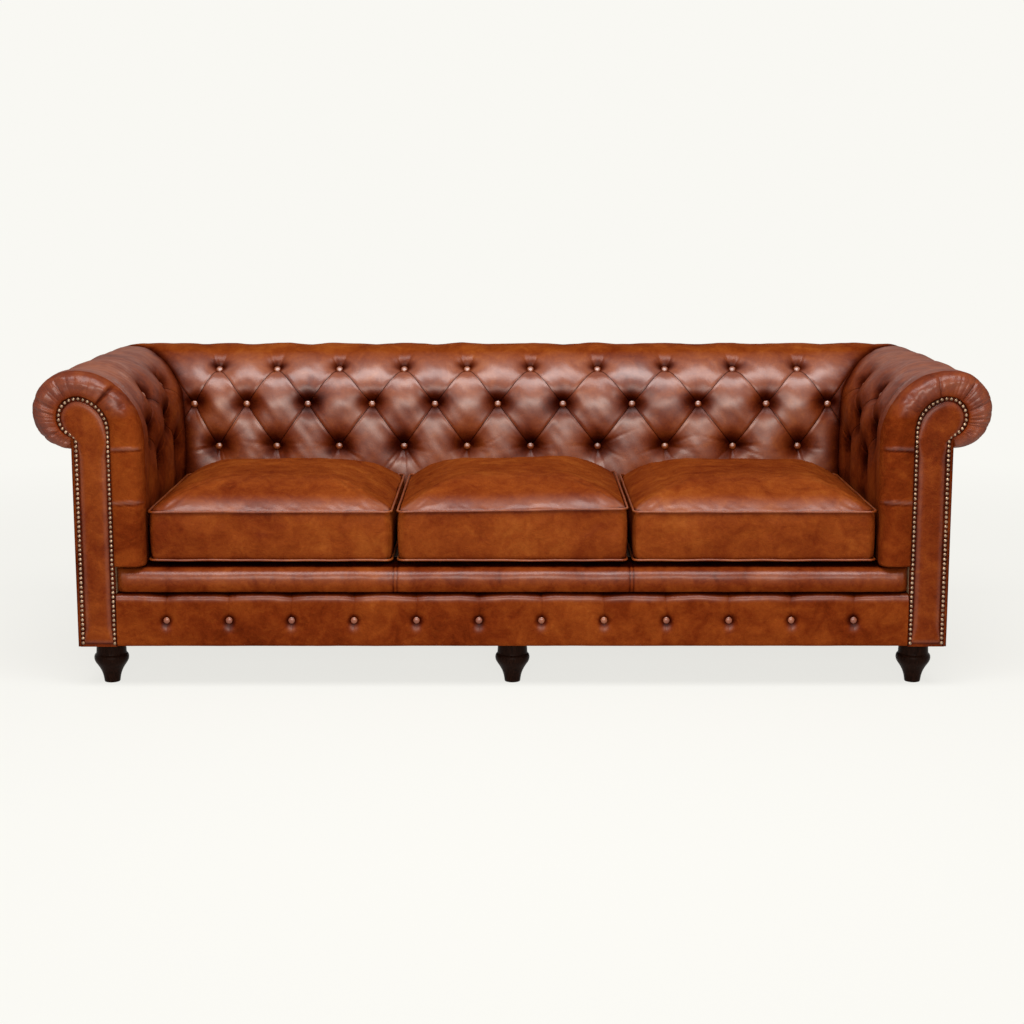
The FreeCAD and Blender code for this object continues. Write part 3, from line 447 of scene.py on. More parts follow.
def inside_arm(seed):
    """The right arm's pad. Its columns run from the corner seam to the front, then round the
    front edge to the nail line on the facing's outline, with gathers on the scroll and two
    level tucks below it, each a groove beside a low ridge. Beside the cushion it is pressed
    in by 4.5 mm."""
    along = pad_along(ARM_ROWS, (46, STEPS, STEPS, 44, 120))
    rows = row_places(along, ARM_ROWS, -2.4, 4.7)
    end = ROLL_Y - roll(along, SEAM)[0]
    first, last = ARM_COLUMNS[0], ARM_COLUMNS[-1]
    rear = end + (last - end) * np.linspace(0, 1, 40, endpoint=False)[None, :]
    cells = np.linspace(last, first, 3 * STEPS + 12, endpoint=False)
    flat = np.concatenate([cells, np.linspace(first, ARM_EDGE, 34)])[None, :]
    y = np.concatenate([rear, np.broadcast_to(flat, (len(along), flat.size))], 1)
    columns = y.shape[1]
    turn = np.linspace(0, PI, 40)[1:][None, :]
    spread = 88.0 * turn / PI
    y_sewn = np.concatenate([y, ARM_EDGE - spread + 0 * along], 1)
    u = (y_sewn - first) / ARM_STEP + 2
    fade = unit((u - 1.15) / 0.6)
    fade = fade * fade * (3 - 2 * fade) * unit(1 - (u - 5.2) / 0.7)
    depth, shade, uv, pleat = tufting(
        y_sewn, along + 0 * u, u, rows + 0 * u, ARM_SPOTS, seed, fade, 14.0, ((42, 34), (52, 44)))
    depth += (3.0 + 4.0 * unit(y_sewn / 300)) * unit((along - TOP + 60) / 60)
    wrap = unit((ARM_EDGE + 34 - y_sewn) / 60) ** 1.3
    gathered = scroll_gathers(along, y_sewn, wrap, seed)
    glint = 0.7 * bell((ARM_EDGE - 40 - y_sewn) / 24) * unit((along - 60) / 60)
    share = np.concatenate([np.ones(columns), (1 + np.cos(turn[0])) / 2])[None, :]
    low = under(np.array(0.0), FACING)[1]
    for height in ARM_TUCKS:
        level = share * SPRING_Z + (1 - share) * low
        place = (height - level) / (share + (1 - share) * (low - SEAT_Z) / (SPRING_Z - SEAT_Z))
        wave = along + 0.8 * np.sin(y_sewn / 17) - place
        across = unit((ARM_EDGE - 4 - y_sewn) / 16)
        gathered += (3.4 * bell((wave + 3) / 2.4) - 1.2 * bell((wave - 4) / 4)) * across
        glint = np.maximum(glint, 0.8 * bell((wave - 3) / 3.5) * across)
    depth += gathered + 4.5 * unit((-150 - along) / 30) * unit((y_sewn - FRONT_Y - 20) / 40)
    # Painted shade in the gathers, then painted light on the arm's top and outside, where the
    # shade goes below 0
    shade = np.maximum(shade, np.clip(gathered * 0.11, 0, 0.7))
    shade = shade - 0.4 * unit((along - TOP + 120) / 80)
    reach = np.concatenate([end - y, np.full((len(along), turn.size), 999.0)], 1)
    depth = seam_valley(depth, reach)
    shade = np.maximum(shade, seam_shade(along, reach, 44, 1.3))
    a, z, _, _ = roll(along, depth[:, :columns])
    wrapped = arm_wrap(along, turn, share[:, columns:], depth[:, columns:])
    outer = np.concatenate([np.stack([ROLL_X - a, y, z], -1), wrapped], 1)
    core_a, core_z = under(loop_rows(along[:, 0])[:, None], CORE, 2.0)
    front_end, rear_end = outer[-1, -1, 1], outer[-1, 0, 1]
    back_share = unit((outer[-1, :, 1] - front_end) / (rear_end - front_end))[None, :]
    inner_y = FACING_Y + WRAP_STEP + (ROLL_Y - core_a - FACING_Y - WRAP_STEP) * back_share
    inner = np.stack([ROLL_X - core_a + 0 * inner_y, inner_y, core_z + 0 * inner_y], -1)
    # Painted shade where the wrap turns back in to the nail line
    close = unit((turn - 2.6) / 0.54) ** 2 + 0 * along
    shade = np.maximum(shade, 0.9 * np.concatenate([np.zeros(y.shape), close], 1))
    waxed = np.interp(along, [-200, TOP - 60, TOP + 30, END], [0.12, 0.35, 0.25, 0.15])
    polish = waxed * (y_sewn > ARM_EDGE) + glint
    return finished_pad(outer, shade, polish, depth, uv, pleat, inner)


def dome(radius, height, sides=18, rings=6, edge=0.0):
    """A covered button or nail head: rings at radius sin(t), height cos(t)^0.85, t up to a
    right angle, and a short skirt below. Points up +Z, its pole closed by one face."""
    t = np.linspace(0.18, PI / 2, rings)[:, None]
    w = np.linspace(0, 2 * PI, sides, endpoint=False)[None, :]
    r = radius * np.sin(t) + 0 * w
    points = np.stack([r * np.cos(w), r * np.sin(w), height * np.cos(t) ** 0.85 + 0 * w], -1)
    if edge:
        points = np.concatenate([points, points[-1:] * (0.82, 0.82, 1) - (0, 0, edge)])
    shape = grid(points, wrap_columns=True, flip=True)
    shape["faces"].append(np.arange(sides)[None, :])
    return {**shape, "polish": np.ones(len(shape["points"]))}


def placed(shape, centre, normal, turn=0.0):
    """A shape moved so that its +Z points along a normal, from a centre."""
    n = np.asarray(normal, float) / np.linalg.norm(normal)
    side = np.cross((0, 0, 1) if abs(n[2]) < 0.9 else (0, 1, 0), n)
    side /= np.linalg.norm(side)
    up = np.cross(n, side)
    first = np.cos(turn) * side + np.sin(turn) * up
    second = np.cos(turn) * up - np.sin(turn) * side
    points = shape["points"] @ np.stack([first, second, n]) + np.asarray(centre)
    return {**shape, "points": points}


def on_back(across, a, z):
    """A point of the roll profile on the back, put into the frame."""
    return np.array([across, ROLL_Y - a, z])


def on_arm(across, a, z):
    """The same on the right arm."""
    return np.array([ROLL_X - a, across, z])


def pad_buttons(spots, place):
    """Covered buttons at the bottom of the funnels; place puts (across, a, z) into the frame."""
    shapes = []
    for across, along in spots:
        a, z, na, nz = roll(np.array(along), TUFT - 2.5)
        outward = place(0, na, nz) - place(0, 0, 0)
        shapes.append(placed(dome(9.8, 6.2, edge=4.0), place(across, a, z), outward))
    return shapes


# Arm fronts


SPINE_LOW, SPINE_TOP = 157, 560


def arm_front(outline, inset, count=120):
    """An arm front's outline from its inner foot over the scroll to its outer foot, with the
    point inside it, on its spine, that each outline point is drawn towards."""
    share = np.linspace(0, 1, count)
    a, z = scroll(share, outline, inset)
    stem = np.linspace(WRAP_LOW + inset, z[0], count, endpoint=False)
    down = np.linspace(z[-1], WRAP_LOW + inset, count + 1)[1:]
    inner, outer, middle = (np.full(count, place) for place in (
        outline[0] - inset, outline[5] + inset, (outline[0] + outline[5]) / 2))
    line = np.stack([np.concatenate([inner, a, outer]), np.concatenate([stem, z, down])], 1)
    rise = np.sin(PI * share).clip(0) ** 0.6
    low, high = np.clip(stem, SPINE_LOW, SPINE_TOP), np.clip(down, SPINE_LOW, SPINE_TOP)
    spine_a = np.concatenate([middle, middle - 26 * rise, middle])
    spine_z = np.concatenate([low, SPINE_TOP + 98 * rise, high])
    return line, np.stack([spine_a, spine_z], 1)


def arm_facing():
    """The facing: outline points drawn towards the spine in rings. Its padded face swells by
    5.5 (1 - exp(-(inset - 12) / 7)) inside the nails, is flat under them and turns in at its
    edge. The last four rings run back over the edge of the wood."""
    line, spine = arm_front(FACING, 0.0)
    gap = np.hypot(*(line - spine).T)
    toward = (spine - line) / gap[:, None]
    insets = (999.0, 36, 30, 24, 20, 17, 15, 13.5, 12.5, 11.0, 6.0, 2.0, 0.5, 0.0)
    behind = ((1.5, -444.5), (0.5, -444.0), (0.0, -442.5), (0.0, -438.5))
    rings = []
    for inset in insets:
        depth = np.minimum(inset, gap * 0.93)
        flat = line + toward * depth[:, None]
        y = FACING_Y + 1.5 - 5.5 * (1 - np.exp(-(depth - 12).clip(0) / 7)) + 1.5 * (inset < 0.4)
        y = y + 0.5 * ripple(flat[:, 0], flat[:, 1], 70, 3) * (depth > 14)
        rings.append(np.stack([ROLL_X - flat[:, 0], y, flat[:, 1]], 1))
    for inset, y in behind:
        edge, _ = arm_front(CORE, inset)
        rings.append(np.stack([ROLL_X - edge[:, 0], np.full(len(edge), y), edge[:, 1]], 1))
    # Painted shade in the groove inside the nail line, and a little behind the edge
    crest = [1 - 0.75 * np.exp(-abs(k - 8.5) / 1.6) for k in range(len(insets))]
    polish = [0.05 + 0.5 * bell((inset - 17) / 5) for inset in insets]
    crest, polish = crest + [0.6] * len(behind), polish + [0.0] * len(behind)
    shape = grid(np.stack(rings), wrap_columns=True, flip=True)
    k = np.arange(len(line) // 2 - 1)
    shape["faces"].append(np.stack([k, k + 1, len(line) - 2 - k, len(line) - 1 - k], 1))
    return {**shape, "crest": np.repeat(crest, len(line)), "polish": np.repeat(polish, len(line))}


def facing_trim():
    """The dark strip under the nails, 12 mm across: y = face + 0.9 - 1.1 (1 - w^4)."""
    rings = []
    for w in np.linspace(-1, 1, 7):
        line, _ = arm_front(FACING, TRIM_LINE + 6.0 * w)
        y = np.full(len(line), FACING_Y + 0.9 - 1.1 * (1 - w**4))
        rings.append(np.stack([ROLL_X - line[:, 0], y, line[:, 1]], 1))
    first, last = rings[0] + (0, 1.5, 0), rings[-1] + (0, 1.5, 0)
    return grid(np.stack([last, *rings[::-1], first]), wrap_rows=True, caps=True, flip=True)


def facing_nails(seed):
    """Nail heads at one pitch along the strip, each turned a little its own way."""
    line, _ = arm_front(FACING, NAIL_LINE, 400)
    line = line[line[:, 1] > WRAP_LOW + 7]
    lengths = np.concatenate([[0], np.cumsum(np.hypot(*np.diff(line, axis=0).T))])
    places = np.arange(2.0, lengths[-1], NAIL_PITCH)
    tilts = np.random.default_rng(seed).normal(0, 0.07, (len(places), 2))
    head = dome(4.4, 3.2, sides=10, rings=4)
    shapes = []
    for place, (left, up) in zip(places, tilts):
        a, z = (np.interp(place, lengths, line[:, k]) for k in (0, 1))
        shapes.append(placed(head, (ROLL_X - a, FACING_Y - 0.2, z), (left, -1, up), left * 20))
    return shapes


# Lip and border


def backed(outer, places, crest, polish):
    """A long shape from its outer face, with its painted light and shade and its polish, and
    rows along x behind it at (y, z) places, where the shade painted is full and polish is 0."""
    x = outer[0, :, 0]
    rows = [np.stack([x, np.full(x.size, y), np.full(x.size, z)], -1) for y, z in places]
    shape = grid(np.concatenate([outer, rows]), wrap_rows=True, caps=True)
    dark = np.zeros((len(places), x.size))
    for key, value in (("crest", crest), ("polish", polish)):
        shape[key] = np.concatenate([value, dark]).ravel()
    return shape


def front_lip():
    """The lip: a half superellipse, y = back - 38 |cos t|^0.72 and z = middle + 30.5 sin t
    |sin t|^-0.2, carried along x, gathered a little at its two double seams and rounded off
    at its ends. Behind it the leather runs up and back under the cushions."""
    spans = ((-LIP_END, LIP_END, 420), (-LIP_END, -915, 24), (915, LIP_END, 24),
             (-305, -262, 26), (266, 310, 26))
    x = np.unique(np.concatenate([np.linspace(*span) for span in spans]))[None, :]
    t = np.linspace(-PI / 2, PI / 2, 56)[:, None]
    end = unit((np.abs(x) - 926) / 32)
    fall = np.sqrt(np.clip(1 - end**2, 0.02, 1))
    seams = creases(x, [seam + side for seam in LIP_SEAMS for side in (-SEAM_GAP, SEAM_GAP)], 2.0)
    pull = creases(x, LIP_SEAMS, 16)
    places = np.cumsum(np.random.default_rng(4).uniform(40, 130, 24)) - 960
    gather = creases(x + 6 * np.sin(3 * t), places, 6)
    reach = LIP_OUT * fall - 1.6 * seams - 1.2 * pull - 0.5 * gather
    reach = reach + 0.8 * ripple(x, 60 * t, 160, 9) + 0.15 * ripple(x, 60 * t, 45, 19)
    y = LIP_Y - reach * np.abs(np.cos(t)) ** 0.72
    z = LIP_Z + (LIP_HALF - seams) * np.sign(np.sin(t)) * np.abs(np.sin(t)) ** 0.8
    outer = np.stack([x + 0 * t, y, z], -1)
    # Painted shade in the seams and gathers and where the lip turns in at its top and bottom
    hollow = unit(seams * 0.6 + gather * 0.2 + 0.8 * np.exp(-(PI / 2 - np.abs(t)) / 0.12))
    polish = bell((t - 0.5) / 0.42) * (0.85 + 0.15 * ripple(x, 0 * t, 130, 39))
    behind = ((-396, 297.0), (-368, 302.0), (-345, 303.8), (-345, 268.0), (-417, 266.0))
    return backed(outer, behind, 1 - hollow, polish)


def rounded_edge(inset, radius):
    """How far a rounded edge falls back: a quarter circle from 1 at its rim to 0 inside."""
    return 1 - np.sqrt(unit(1 - (1 - unit(inset / radius)) ** 2))


def front_border():
    """The border: y = front + a dimple 10 exp(-(r / 15)^1.5) at each button, a thin crease up
    from it and a shorter one down, with rounded edges, its top edge drawn down over each
    button by 4.5 exp(-|dx| / 28)."""
    fine = [place + np.linspace(-14, 14, 15) for place in BORDER_COLUMNS]
    x = np.unique(np.concatenate([np.linspace(-LIP_END, LIP_END, 560)] + fine))[None, :]
    s = np.linspace(0, 1, 50)[:, None]
    nearest = BORDER_COLUMNS[np.argmin(np.abs(x.T - BORDER_COLUMNS), axis=1)][None, :]
    dx = x - nearest
    top = BORDER_TOP - 4.5 * np.exp(-np.abs(dx) / 28) + 0.7 * ripple(x, 0 * x, 90, 16)
    z = WRAP_LOW + (top - WRAP_LOW) * s
    r = np.hypot(dx, z - BORDER_BUTTONS)
    lean = dx + 1.2 * np.sin(z / 19 + nearest)
    above = 1 / (1 + np.exp(-(z - BORDER_BUTTONS) / 4))
    below = (1 - above) * np.exp(-(BORDER_BUTTONS - z).clip(0) / 20)
    crease = bell(lean / 2.4) * (0.9 * above + 1.5 * below)
    broad = bell(dx / 24) * above * 2.2
    bulge = 3.2 * np.sin(PI * s) ** 0.5
    depth = 10 * bell(r / 15, 1.5) + crease + broad - bulge
    depth = depth + 0.7 * ripple(x, z, 110, 6) + 0.3 * ripple(x, z, 35, 26)
    rounding = 12 * rounded_edge(z - WRAP_LOW, 9) + 16 * rounded_edge(top - z, 14)
    y = np.minimum(BORDER_Y + depth + rounding, BORDER_BACK)
    outer = np.stack([x + 0 * s, y, z], -1)
    # Painted shade along the creases, round each button and under the top edge
    hollow = unit(crease * 0.12 + bell(r / 15, 3) + 0.9 * np.exp(-(top - z) / 3))
    polish = 0.9 * bell((top - z - 10) / 6) * (1 - 0.5 * bell(dx / 20))
    polish += 0.6 * np.exp(-((dx / 9) ** 2) - ((z - BORDER_BUTTONS + 17) / 9) ** 2)
    step = BORDER_BACK + 2
    behind = ((BORDER_BACK, BORDER_TOP), (step, BORDER_TOP), (step, WRAP_LOW))
    return backed(outer, behind, 1 - hollow, polish)


def border_buttons():
    """Covered buttons at the bottom of the border's dimples."""
    button = dome(9.2, 5.6, edge=3.0)
    button["polish"] = 0.35 * button["polish"]
    return [placed(button, (x, -441.5, BORDER_BUTTONS), (0, -1, 0)) for x in BORDER_COLUMNS]


# Outer panels


def outer_panel(width, place):
    """A leather panel on a board, w across and z up. With u and v from -1 to 1 over it, it
    stands 3 (1 - |u|^10) (1 - |v|^10) proud with a gentle unevenness, and turns in at its
    edges. place gives (w, out, z) its position."""
    tall = PANEL_TOP - PANEL_LOW
    w = np.concatenate([[-1, -1], np.linspace(-0.995, 0.995, 60), [1, 1]]) * width / 2
    h = np.concatenate([[0, 0], np.linspace(0.004, 0.996, 44), [1, 1]]) * tall + PANEL_LOW
    w, h = np.meshgrid(w, h)
    u, v = 2 * w / width, 2 * (h - PANEL_LOW) / tall - 1
    uneven = 0.8 * ripple(w, h, 240, 12) * (1 - u**2) * (1 - v**2)
    out = 3.0 * (1 - np.abs(u) ** 10) * (1 - np.abs(v) ** 10) + uneven
    out[:, 0] = out[:, -1] = out[0] = out[-1] = -5.0
    return grid(np.stack(place(w, out, h), -1), polish=np.full(w.size, 0.12))


def outside_arm():
    """The right arm's outer panel, which stands on the profile's centre plane."""
    return outer_panel(796, lambda w, out, h: (ROLL_X - 0.5 + out, w - 40, h))


def outside_back():
    """The panel over the whole back."""
    return outer_panel(2096, lambda w, out, h: (-w, ROLL_Y - 0.5 + out, h))


# Loose cushions


def rounded_loop(span, inset, corner, z, count=96):
    """Points round a rectangle with rounded corners, anticlockwise from above."""
    left, right = span[0] + inset, span[1] - inset
    front, back = CUSHION_FRONT + inset, CUSHION_BACK - inset
    pieces = []
    for cx, cy, start in (
            (right - corner, front + corner, -PI / 2), (right - corner, back - corner, 0),
            (left + corner, back - corner, PI / 2), (left + corner, front + corner, PI)):
        turn = start + np.linspace(0, PI / 2, 10)
        pieces.append(np.stack([cx + corner * np.cos(turn), cy + corner * np.sin(turn)], 1))
    loop = np.concatenate(pieces + [pieces[0][:1]])
    lengths = np.concatenate([[0], np.cumsum(np.hypot(*np.diff(loop, axis=0).T))])
    places = np.linspace(0, lengths[-1], count, endpoint=False)
    x, y = np.interp(places, lengths, loop[:, 0]), np.interp(places, lengths, loop[:, 1])
    return np.stack([x, y, np.full(count, z)], 1)


def edge_distance(x, y, span):
    """Distance in from the nearest side of a cushion's outline."""
    sides = np.minimum(x - span[0], span[1] - x)
    return np.minimum(sides, np.minimum(y - CUSHION_FRONT, CUSHION_BACK - y))


def cushion_form(span):
    """A box cushion before it is filled out: rings of rounded rectangles up the full boxing
    and over the crown, where z = seam + 61.5 (1 - f) and f^3 is the sum of the cubes of
    (1 - d / 275)^n at d from each edge, with n 5.6 at the front and 4.6 elsewhere."""
    half = (min(span[1] - span[0], CUSHION_BACK - CUSHION_FRONT)) / 2 - 8.3
    places = [(8.3 + half * 0.7, 8, CUSHION_LOW), (22, CORNER, CUSHION_LOW),
              (12, CORNER, CUSHION_LOW + 1), (SEWN, CORNER, LOW_SEAM)]
    for share in (0.08, 0.2, 0.4, 0.6, 0.8, 0.92):
        inset = SEWN - 3.6 * np.sin(PI * share) ** 0.6
        places.append((inset, CORNER, LOW_SEAM + (TOP_SEAM - LOW_SEAM) * share))
    places.append((SEWN, CORNER, TOP_SEAM))
    rings = [rounded_loop(span, *place) for place in places]
    for share in (0.015, 0.035, 0.065, 0.1, 0.14, 0.19, 0.26, 0.36, 0.48, 0.62, 0.78, 0.94):
        ring = rounded_loop(span, SEWN + half * share, CORNER + 20 * share, TOP_SEAM)
        x, y = ring[:, 0], ring[:, 1]
        reach = ((np.minimum(x - span[0], span[1] - x) - SEWN, 4.6),
                 (y - CUSHION_FRONT - SEWN, 5.6), (CUSHION_BACK - SEWN - y, 4.6))
        fall = sum(((1 - unit(d / 275)) ** n) ** 3 for d, n in reach) ** (1 / 3)
        ring[:, 2] += CROWN * (1 - unit(fall))
        rings.append(ring)
    return closed_rings(np.stack(rings))


def coordinates(piece):
    """A piece's points in metres, one in each row."""
    flat = np.empty(len(piece.data.vertices) * 3)
    piece.data.vertices.foreach_get("co", flat)
    return flat.reshape(-1, 3)


def fill_out(piece, span, voxel=0.0065, cap=7.0):
    """Remeshes a cushion, blows it up as cloth with its seams held, and eases every move
    off towards a cap: cap tanh(length / cap)."""
    bpy.context.view_layer.objects.active = piece
    remesh = piece.modifiers.new("even", "REMESH")
    remesh.mode, remesh.voxel_size, remesh.use_smooth_shade = "VOXEL", voxel, True
    bpy.ops.object.modifier_apply(modifier="even")
    before = coordinates(piece)
    held = piece.vertex_groups.new(name="held")
    x, y, z = before.T / MM
    edge = edge_distance(x, y, span)
    seam = (np.abs(z - LOW_SEAM) < 4.5) | ((np.abs(z - TOP_SEAM) < 5) & (edge < 17))
    held.add(np.nonzero(seam | (z < 306))[0].tolist(), 1.0, "REPLACE")
    cloth = piece.modifiers.new("fill", "CLOTH")
    cloth.settings.quality, cloth.settings.mass = 5, 0.4
    cloth.settings.tension_stiffness = cloth.settings.compression_stiffness = 18
    cloth.settings.bending_stiffness = 1.2
    cloth.settings.use_pressure, cloth.settings.uniform_pressure_force = True, 4.0
    cloth.settings.effector_weights.gravity = 0
    cloth.settings.vertex_group_mass = "held"
    cloth.collision_settings.use_collision = False
    scene = bpy.context.scene
    for step in range(1, 21):
        scene.frame_set(step)
    bpy.ops.object.modifier_apply(modifier="fill")
    scene.frame_set(1)
    move = coordinates(piece) - before
    length = np.linalg.norm(move, axis=1, keepdims=True)
    move *= np.tanh(length / (cap * MM)) * cap * MM / np.maximum(length, 1e-9)
    return before + move


def rising(name, x):
    """The middle cushion's top seam rises by 8 mm to its right, as in the photo."""
    return np.interp(x, CUSHIONS[name], (0.0, 8.0 if name == "middle" else 0.0))


def cushion(name, span, seed, finish):
    """A loose cushion's cover. After it is filled out its top and sides get their own
    unevenness, the edge is puckered beside the piping, and its top is held 1.2 mm clear of
    the foam's sloping edge."""
    piece = make_piece(f"seat_cushion_{name}", [cushion_form(span)], finish, f"{name}_cushion")
    x, y, z = (fill_out(piece, span) / MM).T
    top = unit((z - TOP_SEAM) / 10)
    side = unit(1 - np.abs(z - 369) / 62)
    z = z + top * (1.4 * ripple(x, y, 190, seed) + 0.5 * ripple(x, y, 60, seed + 1))
    edge = edge_distance(x, y, span)
    uneven = 1.5 * ripple(x + y, z, 120, seed + 2) + 0.6 * ripple(x + y, z, 37, seed + 3)
    y = y - side**0.5 * (edge < 25) * uneven * (y < CUSHION_FRONT + 25)
    pucker = (1 + ripple(x + y, z, 30, seed + 4)).clip(0)
    z = z - top * 1.6 * np.exp(-np.clip(edge - 9, 0, None) / 7) * pucker
    inset = np.minimum(edge, 82) - 13.6
    foam = TOP_SEAM + 1.2 + 43.1 * (inset / 68.1).clip(0)
    z = np.where(z > TOP_SEAM + 1, np.maximum(z, foam), z)
    lifted = z + rising(name, x) * unit((z - LOW_SEAM) / (TOP_SEAM - LOW_SEAM))
    points = np.stack([x, y, lifted], 1)
    mesh = piece.data
    mesh.vertices.foreach_set("co", (points * MM).astype(np.float32).ravel())
    near = np.minimum(np.abs(z - TOP_SEAM), np.abs(z - LOW_SEAM))
    # Painted shade on the boxing beside the piping
    crest = 1 - 0.8 * np.exp(-near / 4) * (edge < 20) * (z < TOP_SEAM + 1)
    polish = 0.03 + 0.95 * (z > TOP_SEAM) * bell((y - CUSHION_FRONT - 20) / 20)
    for key, values in (("crest", crest), ("polish", polish)):
        if key not in mesh.attributes:
            mesh.attributes.new(key, "FLOAT", "POINT")
        mesh.attributes[key].data.foreach_set("value", values.astype(np.float32))
    mesh.shade_smooth()
    mesh.update()
    smooth = piece.modifiers.new("smooth", "SUBSURF")
    smooth.levels = smooth.render_levels = 1
    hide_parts(f"cushion_cover_{name}")


def cushion_piping(name, span, finish):
    """A cord of radius 2.7 round each seam: a circle carried along the rounded rectangle, its
    height wandering by half a millimetre."""
    shapes = []
    turn = np.linspace(0, 2 * PI, 12, endpoint=False)[:, None, None]
    for z, seed in ((LOW_SEAM, 1), (TOP_SEAM, 2)):
        line = rounded_loop(span, 3.6, 16, z, 320)
        out = line - np.roll(line, 1, axis=0)
        out = np.stack([out[:, 1], -out[:, 0], 0 * out[:, 0]], 1)
        out /= np.linalg.norm(out, axis=1, keepdims=True)
        x, y = line[:, 0], line[:, 1]
        line[:, 2] += 0.5 * ripple(x, y, 130, seed) + rising(name, x) * (z == TOP_SEAM)
        round_it = np.cos(turn) * out[None] + np.sin(turn) * np.array([0, 0, 1.0])
        ring = line[None] + CORD_R * round_it
        shine = np.full(ring[..., 0].size, 0.8)
        shapes.append(grid(ring, wrap_rows=True, wrap_columns=True, polish=shine))
    piece = make_piece(f"piping_{name}", shapes, finish, f"{name}_cushion")
    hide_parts(f"cushion_piping_{name}")


# Feet


def turned_foot(x, y):
    """A turned foot: its profile of (radius, height) points carried round its axis."""
    profile = np.array([
        (0.5, 0), (16, 0), (18.6, 0.8), (19.4, 2.8), (19.9, 7), (21.2, 15), (23.4, 23), (26.2, 30),
        (30.2, 37.5), (35.2, 45), (39.2, 51), (41.4, 56), (42.2, 60.5), (42.0, 65), (40.7, 68.8),
        (38.8, 71), (37.6, 71.8), (37.0, 73), (36.7, 76), (36.4, 82), (35.7, 92), (34.9, 103),
        (34.5, 111.6), (0.5, 111.6)])
    turn = np.linspace(0, 2 * PI, 48, endpoint=False)[None, :]
    r, z = profile[:, :1], profile[:, 1:]
    points = np.stack([x + r * np.cos(turn), y + r * np.sin(turn), z + 0 * turn], -1)
    return closed_rings(points)


# Finishes


def maths(operation, *fixed, clamp=False):
    """A method of Value that adds one Math node."""
    def method(self, *others):
        settings = {"operation": operation, "use_clamp": clamp}
        sockets = dict(enumerate((self, *others, *fixed)))
        return self.finish.node("ShaderNodeMath", settings, sockets)
    return method


class Value:
    """The output of a shader node. Arithmetic on it adds Math nodes."""

    def __init__(self, finish, socket):
        self.finish, self.socket = finish, socket

    __add__ = __radd__ = maths("ADD")
    __sub__ = maths("SUBTRACT")
    __mul__ = __rmul__ = maths("MULTIPLY")
    __truediv__ = maths("DIVIDE")
    __pow__ = maths("POWER")
    sine = maths("SINE")
    size = maths("ABSOLUTE")
    smaller = maths("MINIMUM")
    larger = maths("MAXIMUM")
    clamped = maths("ADD", 0.0, clamp=True)

    def __rsub__(self, other):
        return self.finish.node("ShaderNodeMath", {"operation": "SUBTRACT"}, {0: other, 1: self})

    def beside(self, output):
        """Another output of the same node."""
        return Value(self.finish, self.socket.node.outputs[output])


class Finish:
    """One material, or a world, whose node method adds any node and returns one output."""

    def __init__(self, name, world=None):
        self.material = world or bpy.data.materials.new(name)
        self.material.use_nodes = True
        self.tree = self.material.node_tree
        self.tree.nodes.clear()

    def node(self, kind, settings=None, sockets=None, output=0):
        """Adds a node, links its sockets to values or sets them, and gives one output."""
        node = self.tree.nodes.new(kind)
        for key, value in (settings or {}).items():
            if key == "stops":
                ramp = node.color_ramp
                for number, (place, colour) in enumerate(value):
                    stop = ramp.elements[number] if number < 2 else ramp.elements.new(place)
                    stop.position, stop.color = place, (*colour, 1)
            else:
                setattr(node, key, value)
        for key, value in (sockets or {}).items():
            if isinstance(value, Value):
                self.tree.links.new(value.socket, node.inputs[key])
            else:
                node.inputs[key].default_value = value
        return Value(self, node.outputs[output]) if output is not None else None

    def place(self):
        """The place on the piece in its own coordinates, in metres."""
        return self.node("ShaderNodeTexCoord", output="Object")

    def stretched(self, place, scale):
        """A place multiplied by a scale on each axis, which squeezes a pattern."""
        return self.node("ShaderNodeMapping", {}, {"Vector": place, "Scale": scale})

    def noise(self, place, scale, detail=3.0, roughness=0.55, distortion=0.0):
        """Cloudy noise, about 0 to 1 round 0.5."""
        return self.node("ShaderNodeTexNoise", {}, {
            "Vector": place, "Scale": scale, "Detail": detail, "Roughness": roughness,
            "Distortion": distortion})

    def cells(self, place, scale):
        """Distance to the nearest of scattered points, as in a pebbled grain."""
        sockets = {"Vector": place, "Scale": scale}
        return self.node("ShaderNodeTexVoronoi", {"feature": "F1"}, sockets, "Distance")

    def ramp(self, value, stops):
        """A colour by value, between stops of (value, colour)."""
        return self.node("ShaderNodeValToRGB", {"stops": stops}, {"Fac": value})

    def mixed(self, share, first, second, blend="MIX"):
        """The first colour, blended with the second by a share."""
        settings = {"data_type": "RGBA", "blend_type": blend}
        return self.node("ShaderNodeMix", settings, {0: share, 6: first, 7: second}, 2)

    def attribute(self, name):
        """A value that the surface carries at its points."""
        return self.node("ShaderNodeAttribute", {"attribute_name": name}, output="Fac")

    def bump(self, height, distance, strength=1.0, under=None):
        """A normal over a height, which stands up to a distance in metres over what is under."""
        sockets = {"Height": height, "Distance": distance, "Strength": strength}
        if under is not None:
            sockets["Normal"] = under
        return self.node("ShaderNodeBump", {}, sockets)

    def finished(self, **sockets):
        """The material, from the sockets of its Principled surface."""
        named = {key.replace("_", " "): value for key, value in sockets.items()}
        self.node_out(self.node("ShaderNodeBsdfPrincipled", {}, named))
        return self.material

    def seen(self):
        """1 on what the camera sees directly, in a reflection or through something clear."""
        path = self.node("ShaderNodeLightPath", output="Is Camera Ray")
        return path.larger(path.beside("Is Glossy Ray")).larger(path.beside("Is Transmission Ray"))

    def node_out(self, surface, end="ShaderNodeOutputMaterial"):
        """Ends the material or world with a surface."""
        self.node(end, {}, {"Surface": surface}, output=None)


